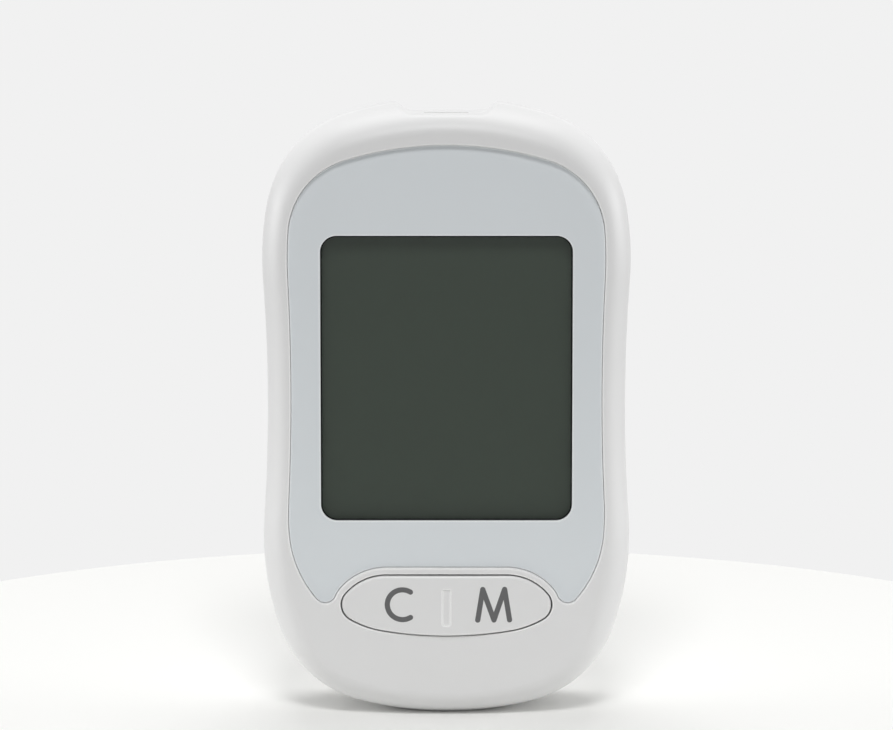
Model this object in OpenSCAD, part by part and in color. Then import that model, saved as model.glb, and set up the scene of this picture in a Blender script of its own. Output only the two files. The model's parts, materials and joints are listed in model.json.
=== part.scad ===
// Blood glucose meter that stands on its lower end.
// X is to the right as seen from the front, Y runs from the front (-) to the back (+), Z is up.
// The origin is on the surface it stands on, under the middle of the case.

/* [Case] */
// Greatest width of the case
body_w = 59; // [58:0.5:62]
// Height from the foot to the crown of the top end
body_h = 98.6; // [98:0.2:102]
// Depth from the front rim to the back
body_d = 22; // [22:0.5:24]
// Thickness of the moulded walls
wall = 1.8; // [1.6:0.1:2]
// Depth of the rounded edge at the front, measured across the face
front_round = 4.5; // [4:0.25:5]
// Depth of the rounded edge at the back, measured across the back
back_round = 5; // [4:0.25:5]
// Straight part of the side wall on each side of the parting line
straight_side = 3; // [2:0.5:4]
// Height cut off the lower end to make the foot
foot_cut = 0.45; // [0.3:0.05:0.6]

/* [Top notch and strip port] */
// Height of the notch floor above the foot, at its front edge
notch_z = 97.05; // [96.85:0.05:97.1]
// Width of the notch floor, to where its two sloping sides would meet it
notch_floor_w = 12.4; // [11.6:0.2:13]
// Slope of the notch's sides
notch_slope = 41; // [38:1:60]
// How much the notch floor falls towards the back
notch_fall = 3.75; // [3:0.25:4.5]
// Width of the test strip slot
slot_w = 7.2; // [6.8:0.2:7.6]
// Thickness of the test strip slot
slot_t = 1.6; // [1.2:0.1:1.8]

/* [Face plate and window] */
// Width of the face plate recess
face_w = 50.6; // [50:0.2:51]
// Height of the top of the recess above the foot
face_top = 92.4; // [92:0.1:92.6]
// How far the plate lies below the front rim
face_recess = 0.8; // [0.5:0.1:1]
// Thickness of the face plate
face_t = 0.5; // [0.4:0.1:0.6]
// Width of the window in the plate
window_w = 40.1; // [39:0.1:40.4]
// Height of the window in the plate
window_h = 45.6; // [44:0.1:46]
// Height of the middle of the window
window_z = 54.95; // [54.5:0.05:55.5]
// Corner radius of the window
window_r = 2.6; // [2:0.1:3.5]
// Radius of the rounded lobes beside the key
lobe_r = 1.8; // [1.2:0.1:2]

/* [Rocker key] */
// Half the straight length of the key's top edge
key_flat = 9.6; // [9.4:0.1:9.8]
// Height of the key's top edge
key_top = 23.12; // [23:0.01:23.2]
// Gap between the key and the case
key_gap = 0.28; // [0.26:0.01:0.34]
// Width of the white band between the key and the face plate
key_band = 1.25; // [1.1:0.05:1.5]
// Radius of the trunnion pins
pin_r = 0.75; // [0.7:0.05:0.8]
// Radial running clearance of the pins in their ears
pin_play = 0.05; // [0.03:0.01:0.08]

/* [Cells and cover] */
// Radius of an AAA cell
cell_r = 5.2; // [5:0.05:5.25]
// Overall length of an AAA cell
cell_len = 44.5; // [44:0.1:44.6]
// Gap all round the cover
cover_gap = 0.2; // [0.15:0.05:0.3]

/* [Hidden] */
$fn = 48;
eps = 0.02;
half_d = body_d / 2;

function dir(a) = [cos(a), sin(a)];
function arc(c, r, a, b, n) = [for (k = [0:n - 1]) c + r * dir(a + (b - a) * k / n)];
// Radius of the arc between two others that makes a half outline exactly w / 2 wide
function corner_radius(w, r_side, a_side, r_end, a_end) =
    (w / 2 - r_side * (1 - cos(a_side)) - r_end * cos(a_end)) / (cos(a_side) - cos(a_end));

// An outline is a chain of tangent arcs, symmetric about x = 0.  Its numbers are
// [width, top, bottom, top radius, top angle, flank radius, flank angle,
//  waist radius, hip radius, hip angle, bottom radius, bottom angle].
case_form = [body_w, body_h, -foot_cut, 55, 73, 50, 10, 272, 46, 19, 55, 75];
face_form = [face_w, face_top, 9.9, 55, 73, 66, 4, 376, 38, 5, 28, 45];

// The right half of an outline, moved in by inset, with n points to the finest arc
function half_outline(f, inset, n) =
    let (
        shoulder_r = corner_radius(f[0], f[5], f[6], f[3], f[4]),
        corner_r = corner_radius(f[0], f[8], f[9], f[10], f[11]),
        c_top = [0, f[1] - f[3]],
        c_shoulder = c_top + (f[3] - shoulder_r) * dir(f[4]),
        c_flank = c_shoulder + (shoulder_r - f[5]) * dir(f[6]),
        c_bottom = [0, f[2] + f[10]],
        c_corner = c_bottom + (f[10] - corner_r) * dir(-f[11]),
        c_hip = c_corner + (corner_r - f[8]) * dir(-f[9]),
        // The hollow waist arc touches the flank and hip arcs from outside
        span = norm(c_flank - c_hip),
        r_a = f[5] + f[7],
        r_b = f[8] + f[7],
        along = (span * span + r_a * r_a - r_b * r_b) / (2 * span),
        down = (c_hip - c_flank) / span,
        c_waist = c_flank + down * along
            + [-down.y, down.x] * sqrt(r_a * r_a - along * along),
        to_flank = c_flank - c_waist,
        to_hip = c_hip - c_waist,
        a_up = atan2(-to_flank.y, -to_flank.x),
        a_low = atan2(-to_hip.y, -to_hip.x)
    )
    concat(
        arc(c_top, f[3] - inset, 90, f[4], n),
        arc(c_shoulder, shoulder_r - inset, f[4], f[6], n + 1),
        arc(c_flank, f[5] - inset, f[6], a_up, 3),
        arc(c_waist, -f[7] - inset, a_up, a_low, 5),
        arc(c_hip, f[8] - inset, a_low, -f[9], 3),
        arc(c_corner, corner_r - inset, -f[9], -f[11], n + 1),
        arc(c_bottom, f[10] - inset, -f[11], -90, n),
        [[0, f[2] + inset]]
    );

function mirrored(half) = [for (k = [len(half) - 2:-1:1]) [-half[k].x, half[k].y]];
function outline(f, inset = 0, n = 11) =
    let (half = half_outline(f, inset, n)) concat(half, mirrored(half));

// Upright solid with the given rings, each [y, inset], from the front to the back
module loft(rings, floor_z = 0) {
    sections = [for (r = rings) [for (p = outline(case_form, r[1])) [p.x, r[0], max(p.y, floor_z)]]];
    n = len(sections[0]);
    last = len(rings) - 1;
    polyhedron(
        points = [for (s = sections) each s],
        faces = concat(
            [[for (i = [0:n - 1]) i]],
            [[for (i = [n - 1:-1:0]) last * n + i]],
            [for (k = [0:last - 1]) for (i = [0:n - 1])
                [k * n + i, (k + 1) * n + i, (k + 1) * n + (i + 1) % n, k * n + (i + 1) % n]]
        ),
        convexity = 6
    );
}

// Rings of a rounded half shell: a straight side, then a quarter ellipse out to y_end
function round_rings(y_end, y_straight, inset, rounding, steps) =
    [for (k = [0:steps]) let (t = 90 * k / steps)
        [y_straight + (y_end - y_straight) * sin(t), inset + rounding * (1 - cos(t))]];
function reversed(v) = [for (k = [len(v) - 1:-1:0]) v[k]];

// Plate with the outline of its 2D children, from y0 to y1
module plate(y0, y1) {
    translate([0, y1, 0]) rotate([90, 0, 0]) linear_extrude(y1 - y0) children();
}
// Round bar along Y
module bar_y(x, z, r, y0, y1) {
    translate([x, y0, z]) rotate([-90, 0, 0]) cylinder(r = r, h = y1 - y0);
}
module box(x0, x1, y0, y1, z0, z1) {
    translate([x0, y0, z0]) cube([x1 - x0, y1 - y0, z1 - z0]);
}
module both_sides() {
    children();
    mirror([1, 0, 0]) children();
}
module rounded_rect(w, h, r, z) {
    translate([0, z]) union() {
        square([w - 2 * r, h], center = true);
        square([w, h - 2 * r], center = true);
        for (x = [-1, 1], y = [-1, 1]) translate([x * (w / 2 - r), y * (h / 2 - r)]) circle(r);
    }
}

// Depth stack, from the front rim back
rim_y = -half_d;
face_y = rim_y + face_recess;
pocket_y = face_y + face_t;
lens_t = 1;
lens_w = window_w + 2.7;
lens_h = window_h + 2.7;
lens_play = 0.15;
plate_play = 0.1;
inner_front_y = pocket_y + 1.5;
board_y = -3.6;
board_t = 1.2;
board_back_y = board_y + board_t;
board_z = [9.5, 93.2];
inner_back_y = half_d - wall;

// Screws: case screws go in from the back, board screws hold the board to the front shell
case_screw_at = [[19.5, 86], [18.5, 10.5]];
board_screw_at = [[13, 84.6], [21.3, 25.9]];
case_boss_r = 2.6;
case_pilot_r = 1;
case_post_r = 3.2;
case_head_r = 1.9;
case_seat_y = 3;
board_boss_r = 1.9;
board_pilot_r = 0.75;

// ---- Key outline: a flat top, a shoulder, a tight end, a lower corner and a long lower arc ----
key_shoulder_r = 8.54;
key_shoulder_a = 40;
key_end_r = 2.66;
key_end_a = 60;
key_corner_r = 15;
key_corner_a = 81;
c_shoulder = [key_flat, key_top - key_shoulder_r];
c_end = c_shoulder + (key_shoulder_r - key_end_r) * dir(key_shoulder_a);
c_corner = c_end + (key_end_r - key_corner_r) * dir(-key_end_a);
key_low_r = key_corner_r + c_corner.x / cos(key_corner_a);
c_low = c_corner + (key_corner_r - key_low_r) * dir(-key_corner_a);
key_low_z = c_low.y - key_low_r;
function key_points(inset) =
    let (half = concat(
        [[0, key_top - inset]],
        arc(c_shoulder, key_shoulder_r - inset, 90, key_shoulder_a, 8),
        arc(c_end, key_end_r - inset, key_shoulder_a, -key_end_a, 12),
        arc(c_corner, key_corner_r - inset, -key_end_a, -key_corner_a, 4),
        arc(c_low, key_low_r - inset, -key_corner_a, -90, 4),
        [[0, key_low_z + inset]]
    ))
    concat(half, mirrored(half));
key_z = 18;
pivot_y = -6.9;
plunger_x = 10.5;
dome_top_y = -5.25;
key_face_y = rim_y - 0.55;
key_flange_y = -6.6;
key_mark_h = 5.9;
key_mark_depth = 0.25;
ear_t = 1.3;
ear_gap = 0.35;
flange_out = 0.7;

// ---- Face plate outline ----
// The band round the key bites into the lower end and leaves two rounded lobes
module face_shape(gap) {
    offset(r = lobe_r, $fn = 40) offset(delta = -lobe_r - gap)
        difference() {
            polygon(outline(face_form));
            polygon(key_points(-key_band));
            translate([-12, 0]) square([24, 18]);
        }
}
// The corners of the notch floor are eased by a fillet
module notch_shape() {
    floor_x = notch_floor_w / 2;
    rise = 5;
    run = rise / tan(notch_slope);
    fillet = 2;
    offset(r = fillet, $fn = 32) offset(delta = -fillet)
        polygon([[-floor_x, notch_z], [floor_x, notch_z], [floor_x + run, notch_z + rise],
            [-floor_x - run, notch_z + rise]]);
}

// ---- Front shell ----
// Solid material under the notch, kept this far below the outer surface
port_cover = 0.5;
notch_front_y = rim_y + 1.65;
conn_top = 93.5;
module strip_port_block(y0, y1) {
    box(-8.4, 8.4, y0, y1, conn_top + 0.2, notch_z + 0.6);
}
module notch_cut(y0, y1) {
    // Turned about the front edge of the notch floor
    translate([0, notch_front_y, notch_z]) rotate([-notch_fall, 0, 0])
        translate([0, -notch_front_y, -notch_z]) plate(y0, y1) notch_shape();
    box(-slot_w / 2, slot_w / 2, -slot_t / 2, slot_t / 2, 92, 99);
}
lip_h = 1.3;
lip_out = 0.95;
module lip_ring(y0, y1, out, in) {
    plate(y0, y1) difference() {
        polygon(outline(case_form, out));
        polygon(outline(case_form, in));
    }
}
module pin_ear(z0) {
    difference() {
        box(-2.1, 2.1, inner_front_y - 0.1, pivot_y + 1.1, z0, z0 + ear_t);
        translate([0, pivot_y, z0 - 1]) cylinder(r = pin_r + pin_play, h = ear_t + 2);
        // The pin snaps in past this mouth, a little narrower than itself
        box(-pin_r + 0.1, pin_r - 0.1, pivot_y, pivot_y + 2, z0 - 1, z0 + ear_t + 1);
    }
}
module front_case() color([0.93, 0.93, 0.92]) {
    difference() {
        union() {
            difference() {
                loft(concat(reversed(round_rings(rim_y, -straight_side, 0, front_round, 7)), [[0, 0]]));
                loft(concat(reversed(round_rings(inner_front_y, -straight_side, wall,
                    front_round - wall, 5)), [[0.5, wall]]));
            }
            intersection() {
                strip_port_block(rim_y, 0);
                loft(concat(reversed(round_rings(rim_y + port_cover, -straight_side, port_cover,
                    front_round - port_cover, 3)), [[0, port_cover]]));
            }
        }
        plate(rim_y - 1, pocket_y) face_shape(0);
        // Window, and the rebate that the lens drops into
        plate(rim_y, pocket_y + lens_t)
            rounded_rect(lens_w + 2 * lens_play, lens_h + 2 * lens_play, window_r + 0.4, window_z);
        plate(rim_y, 0) rounded_rect(window_w + 0.5, window_h + 0.5, window_r, window_z);
        plate(rim_y - 1, 0) polygon(key_points(-key_gap));
        notch_cut(rim_y - 1, 1);
        lip_ring(-lip_h, 1, lip_out - 0.08, wall + 0.1);
    }
    both_sides() {
        for (p = case_screw_at) difference() {
            bar_y(p.x, p.y, case_boss_r, inner_front_y - 0.3, -0.05);
            bar_y(p.x, p.y, case_pilot_r, -7.2, 1);
        }
        for (p = board_screw_at) difference() {
            bar_y(p.x, p.y, board_boss_r, inner_front_y - 0.3, board_y);
            bar_y(p.x, p.y, board_pilot_r, -7.6, 1);
        }
    }
    pin_ear(key_top + flange_out + ear_gap);
    pin_ear(key_low_z - flange_out - ear_gap - ear_t);
}

// ---- Rear shell with the cell bay ----
bay_x = 11.9;
bay_z = [16, 66];
bay_wall = 1.25;
bay_floor_y = -1.4;
cell_x = 5.9;
cell_y = 4;
cover_x = 13.9;
cover_z = [15.2, 66.1];
hinge_y = 10.1;
hinge_z = 66.1;
bead_r = 0.85;
tab_x = 8;
tab_w = 4;
tab_root_z = 65.1;
tab_tip_z = 69.2;
module rear_case() color([0.93, 0.93, 0.92]) {
    difference() {
        union() {
            difference() {
                loft(concat([[0, 0]], round_rings(half_d, straight_side, 0, back_round, 7)));
                loft(concat([[-0.5, wall]], round_rings(inner_back_y, straight_side, wall,
                    back_round - wall, 5)));
            }
            lip_ring(-lip_h + 0.1, 0.6, lip_out, wall);
            intersection() {
                strip_port_block(0, half_d);
                loft(concat([[0, port_cover]], round_rings(half_d - port_cover, straight_side, port_cover,
                    back_round - port_cover, 3)));
            }
            // Bay walls and floor
            box(-bay_x - bay_wall, bay_x + bay_wall, bay_floor_y - 0.8, inner_back_y + 0.1,
                bay_z[0] - bay_wall, bay_z[1] + bay_wall);
            // Shelf that the cover rests on
            box(-cover_x - 1.4, cover_x + 1.4, inner_back_y - 1.2, inner_back_y + 0.1,
                cover_z[0] - 1.6, bay_z[1] + 2.2);
            both_sides() for (p = case_screw_at) bar_y(p.x, p.y, case_post_r, 0.05, inner_back_y + 0.3);
        }
        // Inside of the bay
        box(-bay_x, bay_x, bay_floor_y, half_d + 1, bay_z[0], bay_z[1]);
        // Opening for the cover
        box(-cover_x - cover_gap, cover_x + cover_gap, inner_back_y, half_d + 1,
            cover_z[0] - cover_gap, hinge_z + bead_r + 0.15);
        // Room for the cover's hooks and its latch
        for (x = [-tab_x, tab_x])
            box(x - tab_w / 2 - 0.3, x + tab_w / 2 + 0.3, 6.2, inner_back_y + 0.1,
                bay_z[1] - 1, tab_tip_z + 1);
        box(-5.4, 5.4, 7.4, inner_back_y + 0.1, cover_z[0] - cover_gap, bay_z[0] + 1);
        // Thumb hollow below the cover
        translate([0, half_d + 7.1, cover_z[0] - 0.8]) sphere(r = 8, $fn = 96);
        both_sides() for (p = case_screw_at) {
            bar_y(p.x, p.y, case_pilot_r + 0.2, -1, half_d);
            bar_y(p.x, p.y, case_head_r + 0.3, case_seat_y, half_d + 1);
        }
        // Slots for the tails of the two upper contacts
        for (x = [-cell_x, cell_x])
            box(x - 1.1, x + 1.1, bay_floor_y - 1, bay_floor_y + 0.1, bay_z[1] - contact_t - 0.4, bay_z[1]);
        notch_cut(-2, half_d + 1);
    }
    // Saddle between the two cells
    difference() {
        box(-1.6, 1.6, bay_floor_y - 0.1, 2.4, bay_z[0] + 6, bay_z[1] - 6);
        for (x = [-cell_x, cell_x]) translate([x, cell_y, 0]) cylinder(r = cell_r + 0.15, h = 80);
    }
}

// ---- Battery cover: hooked at the top, latched at the bottom ----
module battery_cover() color([0.92, 0.92, 0.91]) {
    difference() {
        union() {
            box(-cover_x, cover_x, inner_back_y + 0.15, half_d, cover_z[0], hinge_z);
            translate([-cover_x, hinge_y, hinge_z]) rotate([0, 90, 0])
                cylinder(r = bead_r, h = 2 * cover_x);
        }
        // Slots that free the latch tongue
        both_sides() box(5, 5.6, 8, half_d + 1, cover_z[0] - 1, cover_z[0] + 6);
        // Grip grooves
        for (k = [0:4]) box(-4, 4, half_d - 0.4, half_d + 1, 16.6 + 1.3 * k, 17.2 + 1.3 * k);
    }
    // Stiffening ribs along the gap between the cells
    both_sides() box(0.5, 1.3, 8.2, inner_back_y + 0.2, 24, 58);
    for (x = [-tab_x, tab_x]) {
        box(x - tab_w / 2, x + tab_w / 2, 8, inner_back_y + 0.3, tab_root_z, hinge_z);
        box(x - tab_w / 2, x + tab_w / 2, 8, 8.9, tab_root_z, tab_tip_z);
    }
    // Latch nib
    box(-3.5, 3.5, 8.2, inner_back_y + 0.3, cover_z[0] - 0.1, cover_z[0] + 1.2);
}

// ---- Face ----
module faceplate() color([0.78, 0.8, 0.82]) plate(face_y, pocket_y) difference() {
    face_shape(plate_play);
    rounded_rect(window_w, window_h, window_r, window_z);
}
module display_window() color([0.85, 0.9, 0.9, 0.3])
    plate(pocket_y + eps, pocket_y + lens_t - eps) rounded_rect(lens_w, lens_h, window_r + 0.2, window_z);

// ---- Rocker key and what it presses ----
module rocker_button() color([0.9, 0.9, 0.89]) {
    crown_r = 200;
    difference() {
        union() {
            intersection() {
                plate(rim_y - 1, key_flange_y) polygon(key_points(0));
                translate([0, key_face_y + crown_r, 0]) cylinder(r = crown_r, h = 50, $fn = 900);
            }
            plate(key_flange_y - 0.7, key_flange_y) polygon(key_points(-flange_out));
        }
        plate(-9.9, -6) polygon(key_points(1.2));
        // Shallow bar that parts the key's two halves
        plate(rim_y - 1, key_face_y + key_mark_depth) rounded_rect(1.2, key_mark_h, 0.3, key_z);
    }
    // Spine that carries the trunnion pins
    box(-1.1, 1.1, -10, pivot_y + 0.5, key_low_z + 0.2, key_top - 0.2);
    translate([0, pivot_y, key_low_z - flange_out - ear_gap - ear_t + 0.1])
        cylinder(r = pin_r, h = key_top - key_low_z + 2 * (flange_out + ear_gap + ear_t) - 0.2);
    both_sides() {
        bar_y(plunger_x, key_z, 1.5, -10, dome_top_y - 0.05);
        box(1, plunger_x, -10, -7.6, key_z - 0.5, key_z + 0.5);
    }
}
module keypad_mat() color([0.75, 0.76, 0.78]) {
    seat_y = board_y - eps;
    dome = [[2.85, 0], [3.5, 0], [3.5, 0.48], [2.1, 1.2], [1.9, -dome_top_y + seat_y],
        [0, -dome_top_y + seat_y], [0, 1.05], [1.6, 1.05], [2.85, 0.35]];
    plate(seat_y - 0.48, seat_y) difference() {
        rounded_rect(34, 8.4, 2, key_z);
        for (x = [-plunger_x, plunger_x]) translate([x, key_z]) circle(3);
    }
    for (x = [-plunger_x, plunger_x]) translate([x, seat_y, key_z]) rotate([90, 0, 0])
        rotate_extrude() polygon(dome);
}
module carbon_pills() color([0.1, 0.1, 0.1])
    both_sides() bar_y(plunger_x, key_z, 1.5, board_y - 1.05, board_y - 0.75);
module key_contacts() color([0.85, 0.7, 0.3])
    both_sides() plate(board_y - 0.05, board_y) translate([plunger_x, key_z]) {
        for (a = [0, 180]) rotate(a) difference() {
            intersection() {
                circle(2.3);
                translate([0.15, -3]) square([3, 6]);
            }
            translate([-1, 0.3]) square([2.6, 0.5]);
        }
    }

// ---- Display stack ----
glass_w = 45;
glass_z = [29.6, 79.6];
ledge_z = 31.8;
holder_x = 24.1;
holder_z = [28.6, 80.7];
zebra_z = [30, 31.6];
module glass_box(y0, y1, z0, w = glass_w) { box(-w / 2, w / 2, y0, y1, z0, glass_z[1]); }
module lcd_polarizer() color([0.25, 0.27, 0.25, 0.6]) glass_box(-7.9, -7.7, ledge_z, glass_w - 1);
module lcd_front_glass() color([0.6, 0.68, 0.62, 0.5]) glass_box(-7.7 + eps, -6.9, glass_z[0]);
module lcd_rear_glass() color([0.6, 0.68, 0.62, 0.5]) glass_box(-6.9 + eps, -6.1, ledge_z);
module lcd_reflector() color([0.3, 0.33, 0.3]) glass_box(-6.1 + eps, -5.9, ledge_z, glass_w - 1);
module lcd_holder() color([0.9, 0.9, 0.88]) difference() {
    plate(inner_front_y + 0.05, board_y - 0.05)
        rounded_rect(2 * holder_x, holder_z[1] - holder_z[0], 1.5, (holder_z[0] + holder_z[1]) / 2);
    box(-glass_w / 2 - 0.1, glass_w / 2 + 0.1, -9, -5.88, glass_z[0] - 0.1, glass_z[1] + 0.1);
    box(-19.5, 19.5, -9, 0, 36, 77);
    box(-20.5, 20.5, -9, 0, zebra_z[0] - 0.2, zebra_z[1] + 0.2);
}
module zebra_strip() color([0.15, 0.15, 0.16]) box(-20, 20, -6.88, board_y - eps, zebra_z[0], zebra_z[1]);

// ---- Board and its parts ----
module main_board() color([0.1, 0.4, 0.22]) plate(board_y, board_back_y) difference() {
    intersection() {
        polygon(outline(case_form, 3.4));
        translate([-body_w / 2, board_z[0]]) square([body_w, board_z[1] - board_z[0]]);
    }
    for (s = [-1, 1]) {
        for (p = case_screw_at) translate([s * p.x, p.y]) circle(2.9);
        for (p = board_screw_at) translate([s * p.x, p.y]) circle(1.1);
    }
}
// Moulded chip on the back of the board with gull-wing legs along two or four sides
module chip(x, z, w, h, t, legs, four_sided) {
    y0 = board_back_y;
    pitch = h / (legs + 0.5);
    box(x - w / 2, x + w / 2, y0 + 0.1, y0 + t, z - h / 2, z + h / 2);
    for (k = [0:legs - 1]) {
        at = (k - (legs - 1) / 2) * pitch;
        box(x - w / 2 - 0.8, x + w / 2 + 0.8, y0 + eps, y0 + 0.2, z + at - 0.15, z + at + 0.15);
        if (four_sided)
            box(x + at - 0.15, x + at + 0.15, y0 + eps, y0 + 0.2, z - h / 2 - 0.8, z + h / 2 + 0.8);
    }
}
right_column_x = 19;
module microcontroller() color([0.12, 0.12, 0.13]) chip(right_column_x, 52, 7, 7, 1.4, 8, true);
module memory_chip() color([0.12, 0.12, 0.13]) chip(right_column_x, 38, 4, 5, 1.5, 4, false);
module analog_chip() color([0.12, 0.12, 0.13]) chip(-13.5, 74, 4, 5, 1.5, 4, false);
module crystal() color([0.8, 0.8, 0.8]) {
    y0 = board_back_y + 0.05;
    h = 2.5;
    r = 1.25;
    z_ends = [63.5, 66.5];
    for (z = z_ends) bar_y(right_column_x, z, r, y0, y0 + h);
    box(right_column_x - r, right_column_x + r, y0, y0 + h, z_ends[0], z_ends[1]);
}
module buzzer() color([0.1, 0.1, 0.1]) difference() {
    x = -19.6;
    z = 52;
    bar_y(x, z, 4.6, board_back_y + 0.05, board_back_y + 3.2);
    bar_y(x, z, 0.8, board_back_y + 2.4, board_back_y + 4);
}
module board_passives() color([0.7, 0.6, 0.45]) {
    y0 = board_back_y + eps;
    for (k = [0:5]) box(16.2 + 1.3 * k, 17 + 1.3 * k, y0, y0 + 0.6, 44.4, 46);
    for (k = [0:4]) box(-23.4, -21.8, y0, y0 + 0.6, 34 + 1.8 * k, 34.9 + 1.8 * k);
    for (k = [0:3]) box(10 + 1.5 * k, 10.9 + 1.5 * k, y0, y0 + 0.7, 72, 73.6);
    for (k = [0:2]) box(-19.5, -17.3, y0, y0 + 1.6, 33 + 4.2 * k, 36 + 4.2 * k);
}

// ---- Test strip connector ----
module strip_connector() color([0.15, 0.15, 0.16]) difference() {
    box(-6.6, 6.6, board_back_y + eps, 2.1, 81.4, conn_top);
    box(-3.3, 3.3, -0.45, 0.45, 84.5, conn_top + 1);
    // Lead-in at the mouth
    translate([0, 0, conn_top]) rotate([0, 90, 0]) cylinder(r = 0.75, h = 6.6, center = true);
    for (k = [-2:2]) box(1.2 * k - 0.35, 1.2 * k + 0.35, 0.4, 1.5, 83, conn_top - 1.2);
}
module strip_contacts() color([0.85, 0.7, 0.3]) for (k = [-2:2]) translate([1.2 * k - 0.25, 0, 0]) {
    box(0, 0.5, 1.1, 1.35, 83.1, 91.6);
    box(0, 0.5, 0.5, 1.35, 90.2, 90.6);
    box(0, 0.5, board_back_y + 0.05, board_back_y + 0.25, 79.6, 81.35);
}

// ---- Cells, contacts and springs ----
spring_len = 4;
contact_t = 0.4;
dimple = 0.7;
module cell(up) {
    nub = 1;
    z0 = up ? bay_z[0] + contact_t + spring_len : bay_z[0] + contact_t + dimple;
    translate([0, cell_y, z0 + (up ? 0 : cell_len)]) mirror([0, 0, up ? 0 : 1]) rotate_extrude()
        polygon([[0, eps], [3.4, eps], [3.6, 0.25], [4.7, 0.25], [cell_r, 0.7],
            [cell_r, cell_len - nub - 0.5], [cell_r - 0.4, cell_len - nub], [1.9, cell_len - nub],
            [1.9, cell_len - 0.2], [1.7, cell_len - eps], [0, cell_len - eps]]);
}
module battery_left() color([0.2, 0.35, 0.65]) translate([-cell_x, 0, 0]) cell(true);
module battery_right() color([0.2, 0.35, 0.65]) translate([cell_x, 0, 0]) cell(false);
module contact_pad(x, z, up, raised) {
    box(x - 4.6, x + 4.6, -0.8, 7.4, z, z + contact_t);
    // Tail that is soldered to the board
    if (up) box(x - 0.8, x + 0.8, board_back_y + eps, -0.7, z, z + contact_t);
    if (raised) translate([x, cell_y, up ? z - dimple : z + contact_t])
        cylinder(r1 = up ? 1.2 : 1.8, r2 = up ? 1.8 : 1.2, h = dimple);
}
module contact_positive() color([0.8, 0.8, 0.78])
    contact_pad(-cell_x, bay_z[1] - contact_t - eps, true, true);
module contact_negative() color([0.8, 0.8, 0.78])
    contact_pad(cell_x, bay_z[1] - contact_t - eps, true, false);
module contact_bridge() color([0.8, 0.8, 0.78]) {
    contact_pad(-cell_x, bay_z[0] + eps, false, false);
    contact_pad(cell_x, bay_z[0] + eps, false, true);
    box(-2, 2, -0.8, 7.4, bay_z[0] + eps, bay_z[0] + contact_t + eps);
}
// Conical coil from z = 0 (wide end) to z = h (narrow end)
module coil(h, r_wide, r_narrow, wire, turns) {
    per_turn = 14;
    sides = 6;
    n = turns * per_turn;
    pts = [for (k = [0:n]) let (a = 360 * k / per_turn, f = k / n, r = r_wide + (r_narrow - r_wide) * f)
        for (j = [0:sides - 1]) let (b = 360 * j / sides, w = r + wire * cos(b))
            [w * cos(a), w * sin(a), wire + (h - 2 * wire) * f + wire * sin(b)]];
    polyhedron(
        points = pts,
        faces = concat(
            [[for (j = [0:sides - 1]) j]],
            [[for (j = [sides - 1:-1:0]) n * sides + j]],
            [for (k = [0:n - 1]) for (j = [0:sides - 1])
                [k * sides + j, (k + 1) * sides + j, (k + 1) * sides + (j + 1) % sides,
                    k * sides + (j + 1) % sides]]
        ),
        convexity = 6
    );
}
module battery_springs() color([0.8, 0.8, 0.78]) {
    h = spring_len - 2 * eps;
    translate([-cell_x, cell_y, bay_z[0] + contact_t + 2 * eps]) coil(h - eps, 3.4, 2, 0.3, 3);
    translate([cell_x, cell_y, bay_z[1] - contact_t - 2 * eps]) mirror([0, 0, 1])
        coil(h - eps, 3.4, 2, 0.3, 3);
}

// ---- Screws ----
module pan_screw(x, z, y_seat, shank_r, shank_len, head_r, head_t) {
    difference() {
        union() {
            bar_y(x, z, head_r, y_seat, y_seat + head_t);
            bar_y(x, z, shank_r, y_seat - shank_len, y_seat + 0.1);
        }
        for (a = [0, 90]) translate([x, y_seat + head_t, z]) rotate([0, a, 0])
            cube([head_r * 1.2, 1.2, 0.4], center = true);
    }
}
module case_screws() color([0.6, 0.6, 0.6]) for (s = [-1, 1], p = case_screw_at)
    pan_screw(s * p.x, p.y, case_seat_y + eps, case_pilot_r - 0.02, 9.6, case_head_r, 1.4);
module board_screws() color([0.6, 0.6, 0.6]) for (s = [-1, 1], p = board_screw_at)
    pan_screw(s * p.x, p.y, board_back_y + eps, board_pilot_r - 0.02, 4.8, 1.6, 1);

front_case();
rear_case();
battery_cover();
faceplate();
display_window();
rocker_button();
keypad_mat();
carbon_pills();
key_contacts();
lcd_polarizer();
lcd_front_glass();
lcd_rear_glass();
lcd_reflector();
lcd_holder();
zebra_strip();
main_board();
microcontroller();
memory_chip();
analog_chip();
crystal();
buzzer();
board_passives();
strip_connector();
strip_contacts();
battery_left();
battery_right();
contact_positive();
contact_negative();
contact_bridge();
battery_springs();
case_screws();
board_screws();
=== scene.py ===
# %% [markdown]
# # A blood glucose meter
# The meter is a waisted white case in two shells, with a pale plate and a grey display let into
# its face, one rocking key below the display, a notch on top for the test strip, and a battery
# cover at the back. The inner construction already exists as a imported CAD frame. This lesson
# loads that frame, models the pieces that the eye rests on as fine smooth meshes at the same
# places, and gives every piece, seen or hidden, a finish.

# %% Load the frame
import json
import math

import bmesh
import bpy
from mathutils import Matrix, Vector
from mathutils.geometry import intersect_line_line_2d

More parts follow.
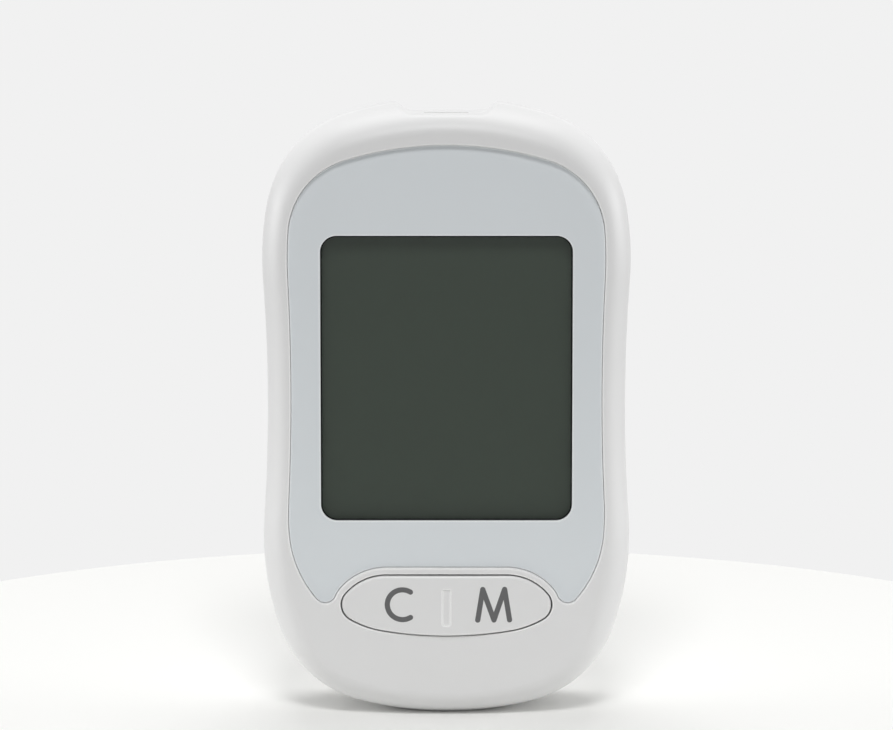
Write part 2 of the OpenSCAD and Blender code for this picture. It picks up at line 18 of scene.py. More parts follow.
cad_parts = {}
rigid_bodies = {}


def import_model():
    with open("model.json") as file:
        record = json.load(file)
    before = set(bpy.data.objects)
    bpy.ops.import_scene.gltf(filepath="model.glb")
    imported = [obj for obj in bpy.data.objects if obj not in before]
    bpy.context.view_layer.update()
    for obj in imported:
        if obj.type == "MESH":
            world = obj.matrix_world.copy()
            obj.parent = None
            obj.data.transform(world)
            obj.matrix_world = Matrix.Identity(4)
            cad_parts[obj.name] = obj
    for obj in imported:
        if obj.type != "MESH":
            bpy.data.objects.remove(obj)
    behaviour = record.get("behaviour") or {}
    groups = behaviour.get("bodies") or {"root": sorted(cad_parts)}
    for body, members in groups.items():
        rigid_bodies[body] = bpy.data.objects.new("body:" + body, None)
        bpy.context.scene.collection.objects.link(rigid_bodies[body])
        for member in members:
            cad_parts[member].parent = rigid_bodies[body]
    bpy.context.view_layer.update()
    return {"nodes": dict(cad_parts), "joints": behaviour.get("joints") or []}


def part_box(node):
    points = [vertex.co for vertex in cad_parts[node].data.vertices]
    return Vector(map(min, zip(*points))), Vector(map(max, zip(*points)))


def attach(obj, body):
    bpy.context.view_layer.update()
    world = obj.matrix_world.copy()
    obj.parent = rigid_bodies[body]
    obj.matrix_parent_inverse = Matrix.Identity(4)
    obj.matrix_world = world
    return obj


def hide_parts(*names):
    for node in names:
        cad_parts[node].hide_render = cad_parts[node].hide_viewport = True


for leftover in list(bpy.data.objects):
    bpy.data.objects.remove(leftover)
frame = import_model()
nodes = frame["nodes"]
print("nodes in the frame:", len(nodes))

# %% [markdown]
# ## Units and places
# The drawing of the meter is in millimetres, so the sizes below are too, and one factor turns
# them into Blender's metres when a mesh is made. X runs to the right as seen from the front,
# Y from the face to the back and Z up. Where a size belongs to a piece of the frame, it is
# read from that piece's box instead of being written again, so that the two can't drift apart.


# %% Sizes of the case
MM = 0.001
case_w, case_top, case_half_d = 58.98, 98.6, 11.0
rim_y, back_y = -case_half_d, case_half_d
wall = 1.8
# The flat foot lies this far above the lowest point of the full outline
foot_cut = 0.45


def box_of(node):
    """The lowest and the highest corner of a piece of the frame, in millimetres."""
    low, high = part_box(node)
    return low / MM, high / MM


face_y, pocket_y = (corner.y for corner in box_of("faceplate"))
print(f"plate lies from y = {face_y:.2f} to {pocket_y:.2f} mm")

# %% [markdown]
# ## Picking and applying
# An operator acts on whatever is selected, just as it does by hand. Each step therefore first
# deselects everything and then picks its own object. A new primitive knows its place, turn and
# scale in the object, and a finished piece has to keep them in its mesh, so `settle` applies all
# three. A modifier is put on, set and applied in one go, because nothing here needs it to stay
# live.


# %% Pick, settle and apply
def pick(*objects):
    bpy.ops.object.select_all(action="DESELECT")
    for one in objects:
        one.select_set(True)
    bpy.context.view_layer.objects.active = objects[0]


def settle(piece, name):
    """Names a new primitive and moves its place into its mesh, so the object sits at the origin."""
    piece.name = piece.data.name = name
    pick(piece)
    bpy.ops.object.transform_apply(location=True, rotation=True, scale=True)
    return piece


def apply_modifier(piece, kind, **settings):
    modifier = piece.modifiers.new(kind.lower(), kind)
    for key, value in settings.items():
        setattr(modifier, key, value)
    pick(piece)
    bpy.ops.object.modifier_apply(modifier=modifier.name)


pick(nodes["faceplate"])
print("picked:", [one.name for one in bpy.context.selected_objects])

# %% [markdown]
# ## Outlines made of arcs
# The case has no straight edge: its outline is a chain of arcs that meet tangentially. A spline
# could be pushed into nearly the same shape by eye, but it would bulge between its points. Arcs
# give the calm, even curve of a moulding that was drawn with radii. Each point is kept with the
# direction that faces outwards there, so the same outline can be moved in or out by any distance
# without losing its smoothness.


# %% Arcs
def direction(degrees):
    return Vector((math.cos(math.radians(degrees)), math.sin(math.radians(degrees))))


def degrees_of(v):
    return math.degrees(math.atan2(v.y, v.x))


def arc(centre, radius, a, b, count, hollow=False):
    """Points with outward normals along an arc, without its last point."""
    steps = [a + (b - a) * k / count for k in range(count)]
    return [(centre + radius * direction(t), -direction(t) if hollow else direction(t)) for t in steps]


print("a quarter circle in three steps:",
      [tuple(round(c, 2) for c in p) for p, n in arc(Vector((0, 0)), 1, 90, 0, 3)])

# %% [markdown]
# ## The waisted outline
# From the top the chain runs over the crown and the shoulder, down the flank, in at the waist,
# and out again over the hip and the corner to the foot. Two arcs touch where their centres and
# the meeting point lie on one line. So the radii and the angles at which one arc hands over to
# the next are chosen, and every centre follows from the one before. Only the radii of the
# shoulder and the corner are worked out, from the width. Both the case and the plate in its face
# are drawn by this one function.


# %% Waisted outline
def corner_radius(w, side_r, side_a, end_r, end_a):
    cos_side, cos_end = math.cos(math.radians(side_a)), math.cos(math.radians(end_a))
    return (w / 2 - side_r * (1 - cos_side) - end_r * cos_end) / (cos_side - cos_end)


def waisted_half(w, top, bottom, top_r, top_a, flank_r, flank_a, waist_r, hip_r, hip_a, low_r, low_a, n=30):
    """Right half of a waisted outline, from the crown down to the foot."""
    shoulder_r = corner_radius(w, flank_r, flank_a, top_r, top_a)
    corner_r = corner_radius(w, hip_r, hip_a, low_r, low_a)
    c_top = Vector((0, top - top_r))
    c_shoulder = c_top + (top_r - shoulder_r) * direction(top_a)
    c_flank = c_shoulder + (shoulder_r - flank_r) * direction(flank_a)
    c_low = Vector((0, bottom + low_r))
    c_corner = c_low + (low_r - corner_r) * direction(-low_a)
    c_hip = c_corner + (corner_r - hip_r) * direction(-hip_a)
    # The waist arc touches the flank's and the hip's arcs from outside
    span = (c_flank - c_hip).length
    r_a, r_b = flank_r + waist_r, hip_r + waist_r
    along = (span * span + r_a * r_a - r_b * r_b) / (2 * span)
    down = (c_hip - c_flank) / span
    c_waist = c_flank + down * along + Vector((-down.y, down.x)) * math.sqrt(r_a * r_a - along * along)
    a_up, a_low = degrees_of(c_flank - c_waist) % 360, degrees_of(c_hip - c_waist) % 360
    return (arc(c_top, top_r, 90, top_a, n * 2) + arc(c_shoulder, shoulder_r, top_a, flank_a, n)
            + arc(c_flank, flank_r, flank_a, a_up - 180, n // 4)
            + arc(c_waist, waist_r, a_up, a_low, n // 2, hollow=True)
            + arc(c_hip, hip_r, a_low - 180, -hip_a, n // 4) + arc(c_corner, corner_r, -hip_a, -low_a, n)
            + arc(c_low, low_r, -low_a, -90, n // 2) + [(Vector((0, bottom)), Vector((0, -1)))])


case_half = waisted_half(case_w, case_top, -foot_cut, top_r=55, top_a=73, flank_r=50, flank_a=10,
                         waist_r=272, hip_r=46, hip_a=19, low_r=55, low_a=75)
print("points on the right half of the case:", len(case_half))

# %% [markdown]
# ## The whole outline
# The meter is symmetric, so the left half is the right half with its X turned round. The points
# on the middle line are used only once, because two vertices at one place would leave a seam in
# every mesh made from the outline. Moving the outline in is now one step along each point's own
# direction. All walls, gaps and lips further down come from this.


# %% Closing and moving an outline
def closed(half):
    """The whole outline from its right half, which starts and ends on the middle line."""
    left = [(Vector((-p.x, p.y)), Vector((-n.x, n.y))) for p, n in half[-2:0:-1]]
    return half + left


def moved(outline, inset):
    return [p - n * inset for p, n in outline]


case_outline = closed(case_half)
widest = 2 * max(p.x for p, n in case_outline)
print(f"case outline: {len(case_outline)} points, {widest:.2f} mm wide")

# %% [markdown]
# ## The key's outline
# The key is a lens, wide and low, so that a thumb finds either end of it: a flat top edge, a
# shoulder, a tight end, a lower corner and a long low arc. It is drawn like the case, each arc
# handing over to the next at a chosen angle. The last arc's radius is the one that brings its
# centre onto the middle line, which leaves no kink between the two halves.

# %% Key outline
key_top, key_flat = 23.12, 9.6
# Radius of each arc, and the angle at which the next arc takes over
key_arcs = [(8.54, 40), (2.66, -60), (15.0, -81)]


def key_half():
    half = [(Vector((key_flat * k / 12, key_top)), Vector((0, 1))) for k in range(12)]
    start = 90
    centre = Vector((key_flat, key_top - key_arcs[0][0]))
    following = [r for r, end in key_arcs[1:]] + [None]
    for (radius, end), next_r in zip(key_arcs, following):
        half += arc(centre, radius, start, end, 16)
        if next_r is None:
            next_r = radius + centre.x / math.cos(math.radians(end))
        centre += (radius - next_r) * direction(end)
        start = end
    return half + arc(centre, next_r, start, -90, 16) + [(Vector((0, centre.y - next_r)), Vector((0, -1)))]


key_outline = closed(key_half())
key_low = key_outline[len(key_half()) - 1][0].y
print(f"key from z = {key_low:.2f} to {key_top:.2f} mm")

# %% [markdown]
# ## The plate's outline with its two lobes
# The plate is a smaller waisted shape. A white band of the case runs round the key and bites
# into it, which leaves a small round lobe on either side. The bite could be cut out of a finished
# plate, but then the lobes would end in sharp points that need rounding by hand. It is easier to
# draw the true outline: a lobe's circle touches the plate's edge from inside and the band from
# outside, so its centre lies where those two lines, each moved by the lobe's radius, cross.

# %% Plate outline
key_band, lobe_r = 1.25, 1.8
face_half = waisted_half(w=50.6, top=92.4, bottom=9.9, top_r=55, top_a=73, flank_r=66, flank_a=4,
                         waist_r=376, hip_r=38, hip_a=5, low_r=28, low_a=45, n=48)
# The lobes lie below this height, which is below the window
lobes_below = 30


def crossing(line_a, line_b):
    """Indices and point where two open lines of points cross."""
    for i in range(len(line_a) - 1):
        for j in range(len(line_b) - 1):
            hit = intersect_line_line_2d(line_a[i], line_a[i + 1], line_b[j], line_b[j + 1])
            if hit:
                return i, j, hit
    raise ValueError("the lines don't cross")


def plate_half():
    band = [(p + n * key_band, n) for p, n in key_half()]
    beside = moved(face_half, lobe_r)
    above = [p + n * lobe_r for p, n in band]
    start = next(k for k, p in enumerate(beside) if p.y < lobes_below)
    i, j, centre = crossing(beside[start:], above)
    a, b = degrees_of(face_half[start + i][1]), degrees_of(-band[j][1])
    if b > a:
        b -= 360
    back = [(p, -n) for p, n in reversed(band[:j + 1])]
    return face_half[:start + i] + arc(centre, lobe_r, a, b, 24) + back


plate_outline = closed(plate_half())
print(f"plate outline: {len(plate_outline)} points, lobes down to "
      f"z = {min(p.y for p, n in plate_outline):.2f} mm")

# %% [markdown]
# ## Lofted solids
# Most pieces of this meter are one outline drawn through a depth, growing or shrinking on the
# way. Extruding a face once and bevelling its rim would give an edge of one radius, and a bevel
# breaks where the waist is hollow. So the solid is extruded many times instead. It starts as a
# circle primitive with one vertex for every point of the outline. Its vertices are set on the
# first outline, the face is extruded, the new loop of vertices is set on its own outline, and so
# on. A number stored on every vertex says which point of the outline it is, and extruding copies
# that number.


# %% Loft by extruding
def loft(name, rings):
    """A closed solid through rings of 3D points in millimetres, all with the same count."""
    bpy.ops.mesh.primitive_circle_add(vertices=len(rings[0]), radius=MM, fill_type="NGON")
    piece = bpy.context.object
    piece.name = piece.data.name = name
    mesh = piece.data
    place = mesh.attributes.new("place", "INT", "POINT")
    place.data.foreach_set("value", range(len(mesh.vertices)))
    pick(piece)
    bpy.ops.object.mode_set(mode="EDIT")
    bpy.ops.mesh.select_all(action="SELECT")
    cap = 0
    for level, ring in enumerate(rings):
        if level:
            edit = bmesh.from_edit_mesh(mesh)
            bpy.ops.mesh.select_all(action="DESELECT")
            edit.faces.ensure_lookup_table()
            edit.faces[cap].select_set(True)
            bmesh.update_edit_mesh(mesh)
            bpy.ops.mesh.extrude_region_move()
        edit = bmesh.from_edit_mesh(mesh)
        layer = edit.verts.layers.int["place"]
        for vertex in edit.verts:
            if vertex.select:
                vertex.co = Vector(ring[vertex[layer]]) * MM
        edit.faces.index_update()
        cap = next(face.index for face in edit.faces if face.select and len(face.verts) == len(ring))
        bmesh.update_edit_mesh(mesh)
    bpy.ops.mesh.select_all(action="SELECT")
    bpy.ops.mesh.normals_make_consistent(inside=False)
    bpy.ops.object.mode_set(mode="OBJECT")
    mesh.attributes.remove(mesh.attributes["place"])
    return piece


trial = loft("trial", [[(1, y, -1), (1, y, 1), (-1, y, 1), (-1, y, -1)] for y in (0, 1, 2)])
print("a trial loft through three squares:", len(trial.data.polygons), "faces")
bpy.data.objects.remove(trial)

# %% [markdown]
# ## Levels of a loft
# A loft is told by its levels: how deep each ring lies and how far it is moved in. Two families
# of levels come back again and again. The edge of a moulding rolls over by the law of a quarter
# ellipse, which is softer than a plain radius. And where an opening enters a surface, the
# cutter's mouth flares, which leaves the small round lip of a moulded part, because a sharp cut
# never looks real.


# %% Levels
def quarter(steps):
    """Angles from nothing to a quarter turn."""
    return [math.pi / 2 * k / steps for k in range(steps + 1)]


def upright(outline, levels, trim=None):
    """Rings for loft(): the outline at each level's y, moved in by its inset, then trimmed."""
    rings = []
    for y, inset in levels:
        flat = moved(outline, inset)
        if trim:
            flat = [trim(p, y) for p in flat]
        rings.append([(p.x, y, p.y) for p in flat])
    return rings


def rolled(y_end, y_straight, inset, rounding, steps=16):
    """Levels of a rounded half shell, from its end back to its straight side."""
    return [(y_straight + (y_end - y_straight) * math.sin(t), inset + rounding * (1 - math.cos(t)))
            for t in reversed(quarter(steps))]


# A cutter starts a hair below the rim, because an edge that lies in a face cuts badly
lip_start = 0.01


def mouth(y_rim, y_deep, radius, steps=4):
    """Levels of a cutter that leaves a rounded lip of this radius where it enters the rim."""
    sign = 1 if y_deep > y_rim else -1
    lip = [(y_rim + sign * (lip_start + radius * (1 - math.cos(t))), -radius * (1 - math.sin(t)))
           for t in quarter(steps)]
    return [(y_rim - sign * 2, -radius)] + lip + [(y_deep, 0)]


print("levels of a mouth with a lip of 0.5 mm:",
      [(round(y, 2), round(inset, 2)) for y, inset in mouth(0, 3, 0.5)])

# %% [markdown]
# ## Notch and foot
# A finger presses the test strip into a notch on top, and the meter stands on a flat foot. Both
# could be cut off the finished shells with boxes, but then their edges would be sharp. Instead
# every outline of a loft is trimmed as it is laid down: no point may rise above the notch's
# profile or sink below the foot. The lower of two heights is blended over a short distance, so
# the notch's edges come out soft, as on the moulding.

# %% Trimming an outline
notch_z, notch_floor_w, notch_slope = 97.05, 12.4, 41.0
notch_fall, notch_front_y = 3.75, rim_y + 1.65
floor_blend, notch_blend = 0.9, 0.4
# The wall between the notch's floor and the hollow inside
port_thickness = 2.7


def blended_min(a, b, reach):
    near = max(reach - abs(a - b), 0) / reach
    return min(a, b) - near * near * reach / 4


def notch_height(x, y):
    """Height of the notch: a floor that falls towards the back, and sides that rise to the crown."""
    rise = (abs(x) - notch_floor_w / 2) * math.tan(math.radians(notch_slope))
    fall = (y - notch_front_y) * math.tan(math.radians(notch_fall))
    return notch_z - fall - blended_min(0, -rise, floor_blend)


def trimmed(below_notch, above_foot):
    """A trim that keeps an outline this far below the notch and above the foot."""
    def trim(p, y):
        lowered = blended_min(p.y, notch_height(p.x, y) - below_notch, notch_blend)
        return Vector((p.x, max(lowered, above_foot)))
    return trim


print(f"notch floor from z = {notch_height(0, rim_y):.2f} mm in front "
      f"to {notch_height(0, back_y):.2f} mm at the back")

# %% [markdown]
# ## Cutting and joining
# Two solids are joined or cut by a Boolean modifier with the exact solver, as a designer uses a
# cutter: the cutter is modelled, its modifier is applied, and the cutter is thrown away. Two
# habits help that solver, which fails where two faces lie in one plane. Solids that are joined
# reach a little into each other, and a cutter runs past what it cuts.

# %% Cut and join
bite, over = 0.1, 1


def join_solid(piece, other, operation="UNION"):
    apply_modifier(piece, "BOOLEAN", operation=operation, object=other, solver="EXACT")
    bpy.data.objects.remove(other)


def cut(piece, *cutters):
    for cutter in cutters:
        join_solid(piece, cutter, "DIFFERENCE")


print(f"solids reach {bite} mm into each other, cutters run {over} mm past")

# %% [markdown]
# ## Half a case
# Both halves are moulded in the same way: a rolled edge, an even wall that follows the outside,
# and a seam where they meet. One function lofts the outside and cuts the inside away with a
# second loft, which is the same outline moved in by the wall. Solidify would also give a wall,
# but not a thicker one below the notch. The fine groove at the seam is half in each half, with
# its edges rounded. A lip on the rear half stands inside the front half and keeps the two in
# line, so each half gets its own step there.

# %% Half shell
straight_side = 3.0
groove_half_w, groove_deep, groove_round, groove_taper = 0.07, 0.4, 0.06, 0.8
outer_steps, inner_steps = 26, 10
lip_out, lip_h, lip_play, lip_end_gap = 0.95, 1.2, 0.08, 0.1
lip_room_y = -lip_h - lip_end_gap


def ledge(inset, *levels):
    """Rings of one inset at the parting line, as far below the notch as they are inside the case."""
    return upright(case_outline, [(y, inset) for y in levels],
                   trimmed(port_thickness - wall + inset, inset - foot_cut))


def shell(name, end_y, rounding, inner_end_y, outer_step, inner_step):
    """A hollow half of the case, on the side of the parting line where end_y lies."""
    side = math.copysign(1, end_y)
    seam = [(side * (groove_half_w + groove_round * (1 - math.sin(t))), groove_round * (1 - math.cos(t)))
            for t in quarter(3)]
    seam += [(side * groove_half_w * groove_taper, groove_deep), (0, groove_deep)]
    straight_y = side * straight_side
    outer = upright(case_outline, rolled(end_y, straight_y, 0, rounding, outer_steps), trimmed(0, 0))
    for y, inset in seam:
        outer += upright(case_outline, [(y, inset)], trimmed(inset, inset))
    inner = upright(case_outline, rolled(inner_end_y, straight_y, wall, rounding - wall, inner_steps),
                    trimmed(port_thickness, 0))
    half = loft(name, outer + outer_step)
    cut(half, loft("hollow", inner + inner_step))
    return half


front_round, inner_front_y = 4.5, pocket_y + 1.5
front = shell("front_shell", rim_y, front_round, inner_front_y, [],
              ledge(wall, lip_room_y) + ledge(lip_out - lip_play, lip_room_y, over / 2))
print("front shell, hollow:", len(front.data.polygons), "faces")

# %% [markdown]
# ## Openings in the face
# The plate lies sunk in a bed, the lens lies in a rebate behind it, and the display and the key
# look through openings of their own. Each could be inset and extruded in the shell's face, but
# that face is one large polygon whose corners have nothing to do with the openings. Cutters lofted
# from the same outlines as the pieces themselves are surer, and leave an even gap all round.


# %% Bed, rebate and openings
def rounded_window(w, h, radius, z_mid, count=16):
    """Outline of a rectangle with round corners."""
    corners = [(w / 2, h / 2, 90), (w / 2, -h / 2, 0), (-w / 2, -h / 2, -90), (-w / 2, h / 2, -180)]
    points = []
    for x, z, start in corners:
        centre = Vector((x - math.copysign(radius, x), z_mid + z - math.copysign(radius, z)))
        end = start - 90
        points += arc(centre, radius, start, end, count)
        points.append((centre + radius * direction(end), direction(end)))
    return points


window_w, window_h, window_r, window_z = 40.12, 45.92, 2.6, 54.91
lens_low, lens_high = box_of("display_window")
lens_play, lens_rest, rebate_r = 0.15, 0.02, window_r + 0.4
rebate = rounded_window(lens_high.x - lens_low.x + 2 * lens_play, lens_high.z - lens_low.z + 2 * lens_play,
                        rebate_r, window_z)
# The opening in the shell is wider than the plate's window, so its edge stays hidden
step = 0.25
opening = rounded_window(window_w + 2 * step, window_h + 2 * step, window_r, window_z)
behind_face_y, bed_lip, key_gap, key_lip = -5, 0.18, 0.22, 0.12
cut(front, loft("bed", upright(plate_outline, mouth(rim_y, pocket_y, bed_lip))),
    loft("rebate", upright(rebate, [(rim_y, 0), (lens_high.y + lens_rest, 0)])),
    loft("display_opening", upright(opening, [(rim_y, 0), (behind_face_y, 0)])),
    loft("key_opening", upright(key_outline, [(y, inset - key_gap)
                                              for y, inset in mouth(rim_y, behind_face_y, key_lip)])))
print("front shell with its openings:", len(front.data.polygons), "faces")

# %% [markdown]
# ## Bosses
# Behind the face stand the bosses for the screws: four for the screws of the case and four that
# carry the board. They can't be seen on a closed meter, but a shell without them would be a mask.
# A boss could be an extruded circle of the inner face. It is added as a round bar and joined,
# because that needs no vertices to be in the right place. Everything is made on the right half
# and again at the mirrored place.


# %% Bars, boxes and bosses
def box(name, x0, x1, y0, y1, z0, z1):
    middle = ((x0 + x1) / 2, (y0 + y1) / 2, (z0 + z1) / 2)
    bpy.ops.mesh.primitive_cube_add(size=MM, location=[c * MM for c in middle],
                                    scale=(x1 - x0, y1 - y0, z1 - z0))
    return settle(bpy.context.object, name)


along_axis = {"X": (0, math.pi / 2, 0), "Y": (math.pi / 2, 0, 0), "Z": (0, 0, 0)}


def bar(name, axis, middle, radius, length, sides=64):
    """A round bar along one axis, about its middle point."""
    bpy.ops.mesh.primitive_cylinder_add(vertices=sides, radius=radius * MM, depth=length * MM,
                                        location=[c * MM for c in middle], rotation=along_axis[axis])
    return settle(bpy.context.object, name)


def bar_y(name, x, z, radius, y0, y1):
    return bar(name, "Y", (x, (y0 + y1) / 2, z), radius, y1 - y0)


def both_sides(points):
    return [(side * x, z) for side in (-1, 1) for x, z in points]


# Bosses and posts start this deep in their wall, and stop this short of the parting line
rooted, seam_gap = 0.3, 0.05


def boss(piece, x, z, radius, pilot_r, end_y, pilot_end_y):
    """A boss from the face's wall to end_y, with a pilot hole for the screw."""
    join_solid(piece, bar_y("boss", x, z, radius, inner_front_y - rooted, end_y))
    cut(piece, bar_y("pilot_hole", x, z, pilot_r, pilot_end_y, end_y + over))


case_screw_at, board_screw_at = [(19.5, 86.0), (18.5, 10.5)], [(13.0, 84.6), (21.3, 25.9)]
case_boss_r, case_pilot_r, case_pilot_end_y = 2.6, 1.0, -7.2
board_boss_r, board_pilot_r, board_pilot_end_y = 1.9, 0.75, -7.6
board_front_y = box_of("main_board")[0].y
for x, z in both_sides(case_screw_at):
    boss(front, x, z, case_boss_r, case_pilot_r, -seam_gap, case_pilot_end_y)
for x, z in both_sides(board_screw_at):
    boss(front, x, z, board_boss_r, board_pilot_r, board_front_y, board_pilot_end_y)
print("bosses:", 2 * len(case_screw_at + board_screw_at))

# %% [markdown]
# ## Ears for the key
# The key rocks on two short pins, above and below it. Each sits in an ear that stands behind the
# face, and a mouth, narrower than the pin, lets it snap in from behind. An ear is a box with a
# bar and a smaller box cut out. The slot for the test strip goes through both halves of the case
# at the parting line, so this half gets its part of it here.

# %% Ears and strip slot
pivot_y = frame["joints"][0]["pos_m"][1] / MM
pin_r, pin_play, snap = 0.75, 0.05, 0.1
ear_half_w, ear_t, ear_gap, ear_behind_pin = 2.1, 1.3, 0.35, 1.1
flange_out = 0.7
slot_w, slot_t, slot_z = 7.2, 1.6, (92, 99)


def pin_ear(piece, z0):
    join_solid(piece, box("ear", -ear_half_w, ear_half_w, inner_front_y - bite, pivot_y + ear_behind_pin,
                          z0, z0 + ear_t))
    cut(piece, bar("pin_hole", "Z", (0, pivot_y, z0 + ear_t / 2), pin_r + pin_play, ear_t + 2 * over, 48),
        box("snap_mouth", -pin_r + snap, pin_r - snap, pivot_y, pivot_y + 2, z0 - over, z0 + ear_t + over))


def strip_slot():
    return box("strip_slot", -slot_w / 2, slot_w / 2, -slot_t / 2, slot_t / 2, *slot_z)


pin_ear(front, key_top + flange_out + ear_gap)
pin_ear(front, key_low - flange_out - ear_gap - ear_t)
cut(front, strip_slot())
print("front shell with its ears:", len(front.data.polygons), "faces")

# %% [markdown]
# ## Smoothing the shell
# A moulding shades smoothly over its curves and breaks at its edges. Shade smooth alone would
# drag shadows over the large flats, so edges sharper than an angle are kept sharp and the normals
# are weighted by the size of the faces. Cutters can leave faces thinner than a hair, and these
# are merged first. The finished shell then takes the place of the CAD piece, which is hidden, and
# rides on the case.


# %% Finish the front shell
def close_slivers(piece):
    """Merges the hair-thin faces that cutters leave, so the surface stays closed."""
    pick(piece)
    bpy.ops.object.mode_set(mode="EDIT")
    bpy.ops.mesh.select_all(action="SELECT")
    bpy.ops.mesh.remove_doubles(threshold=0.002 * MM)
    bpy.ops.mesh.dissolve_degenerate(threshold=0.001 * MM)
    bpy.ops.mesh.select_all(action="DESELECT")
    bpy.ops.mesh.select_non_manifold(extend=False, use_multi_face=False, use_non_contiguous=False,
                                     use_verts=False)
    bpy.ops.mesh.fill_holes(sides=6)
    bpy.ops.object.mode_set(mode="OBJECT")


def smooth(piece, degrees=32):
    """Smooth shading that breaks at sharp edges and lets large flats stay flat."""
    close_slivers(piece)
    bpy.ops.object.shade_smooth_by_angle(angle=math.radians(degrees))
    apply_modifier(piece, "WEIGHTED_NORMAL", keep_sharp=True)


smooth(front)
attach(front, "case")
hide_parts("front_case")
print("front shell, finished:", len(front.data.polygons), "faces")

# %% [markdown]
# ## The rear shell
# The other half holds the cells. Its bay is a box let in from the back, with walls of its own,
# and round the bay runs a shelf that the cover lies on. A moulder would draw the bay as a pocket
# of the wall. Here a solid block is joined to the hollow half first and the bay is cut out of it
# afterwards, which gives walls of the right thickness without any inner faces.

# %% Half with its blocks
back_round, inner_back_y = 5.0, back_y - wall
bay_half_w, bay_z, bay_floor_y = 11.9, (16.0, 66.0), -1.4
bay_wall, bay_floor_t = 1.25, 0.8
cover_half_w, cover_z0 = box_of("battery_cover")[1].x, 15.2
shelf_w, shelf_t, shelf_z = 1.4, 1.2, (cover_z0 - 1.6, bay_z[1] + 2.2)
post_r = 3.2

rear = shell("rear_shell", back_y, back_round, inner_back_y, ledge(lip_out, 0, -lip_h), ledge(wall, -2))
join_solid(rear, box("bay_block", -bay_half_w - bay_wall, bay_half_w + bay_wall, bay_floor_y - bay_floor_t,
                     inner_back_y + bite, bay_z[0] - bay_wall, bay_z[1] + bay_wall))
join_solid(rear, box("shelf", -cover_half_w - shelf_w, cover_half_w + shelf_w, inner_back_y - shelf_t,
                     inner_back_y + bite, *shelf_z))
for x, z in both_sides(case_screw_at):
    join_solid(rear, bar_y("post", x, z, post_r, seam_gap, inner_back_y + rooted))
print("rear shell with its blocks:", len(rear.data.polygons), "faces")

# %% [markdown]
# ## The cell bay
# The bay is cut from the back, and then the opening that the cover fills, with a round lip. The
# cover hooks in at the upper end and latches at the lower end, so the shelf gets rooms for two
# hooks and for the latch. Two narrow slots in the bay's floor, at its upper end, let the tails of
# the contacts through to the board.

# %% Bay and cover opening
hinge_y, hinge_z = (c / MM for c in frame["joints"][1]["pos_m"][1:])
bead_r, bead_gap, cover_gap, cover_lip, opening_r = 0.85, 0.15, 0.2, 0.15, 0.3
opening_z = (cover_z0 - cover_gap, hinge_z + bead_r + bead_gap)
hook_x, hook_w, hook_root_z, hook_tip_z = 8.0, 4.0, 65.1, 69.2
hook_play, hook_room_y = 0.3, 6.2
latch_half_w, latch_room_y = 5.4, 7.4
tail_half_w, tail_h = 1.1, 0.8
left_low, left_high = box_of("battery_left")
cell_x, cell_y = (left_low.x + left_high.x) / -2, (left_low.y + left_high.y) / 2
cell_r = (left_high.x - left_low.x) / 2

cut(rear, box("bay", -bay_half_w, bay_half_w, bay_floor_y, back_y + over, *bay_z),
    loft("cover_opening", upright(
        rounded_window(2 * (cover_half_w + cover_gap), opening_z[1] - opening_z[0], opening_r,
                       sum(opening_z) / 2, 4),
        mouth(back_y, inner_back_y, cover_lip))))
for x in (-hook_x, hook_x):
    cut(rear, box("hook_room", x - hook_w / 2 - hook_play, x + hook_w / 2 + hook_play, hook_room_y,
                  inner_back_y + bite, bay_z[1] - over, hook_tip_z + over))
cut(rear, box("latch_room", -latch_half_w, latch_half_w, latch_room_y, inner_back_y + bite,
              opening_z[0], bay_z[0] + over))
for x in (-cell_x, cell_x):
    cut(rear, box("tail_slot", x - tail_half_w, x + tail_half_w, bay_floor_y - over, bay_floor_y + bite,
                  bay_z[1] - tail_h, bay_z[1]))
print("rear shell with its bay:", len(rear.data.polygons), "faces")

# %% [markdown]
# ## Screw holes, thumb hollow and saddle
# The four case screws go in from the back, through holes that are counterbored so that the heads
# lie deep and are reached only by a driver. A shallow round hollow, the cap of a large ball, lets
# a thumb get at the latch. In the bay a saddle with two round flanks keeps the cells apart. It is
# a box with two bars cut out, each a little wider than a cell.

# %% Holes and saddle
shank_r, head_r, head_floor_y, head_lip = 1.2, 2.2, 3, 0.25
thumb_r, thumb_y, thumb_z = 8, back_y + 7.1, cover_z0 - 0.8
saddle_half_w, saddle_top_y, saddle_inset = 1.6, 2.4, 6
cell_play, cell_room_z, cell_room_len = 0.15, 40, 80


def round_outline(x, z, radius, count=64):
    return arc(Vector((x, z)), radius, 360, 0, count)


bpy.ops.mesh.primitive_uv_sphere_add(segments=96, ring_count=64, radius=thumb_r * MM,
                                     location=(0, thumb_y * MM, thumb_z * MM))
cut(rear, settle(bpy.context.object, "thumb_hollow"))
for x, z in both_sides(case_screw_at):
    cut(rear, bar_y("screw_hole", x, z, shank_r, -over, back_y - over),
        loft("counterbore", upright(round_outline(x, z, head_r), mouth(back_y, head_floor_y, head_lip))))
cut(rear, strip_slot())
saddle = box("saddle", -saddle_half_w, saddle_half_w, bay_floor_y - bite, saddle_top_y,
             bay_z[0] + saddle_inset, bay_z[1] - saddle_inset)
for x in (-cell_x, cell_x):
    cut(saddle, bar("cell_room", "Z", (x, cell_y, cell_room_z), cell_r + cell_play, cell_room_len, 96))
join_solid(rear, saddle)
smooth(rear)
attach(rear, "case")
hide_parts("rear_case")
print("rear shell, finished:", len(rear.data.polygons), "faces")

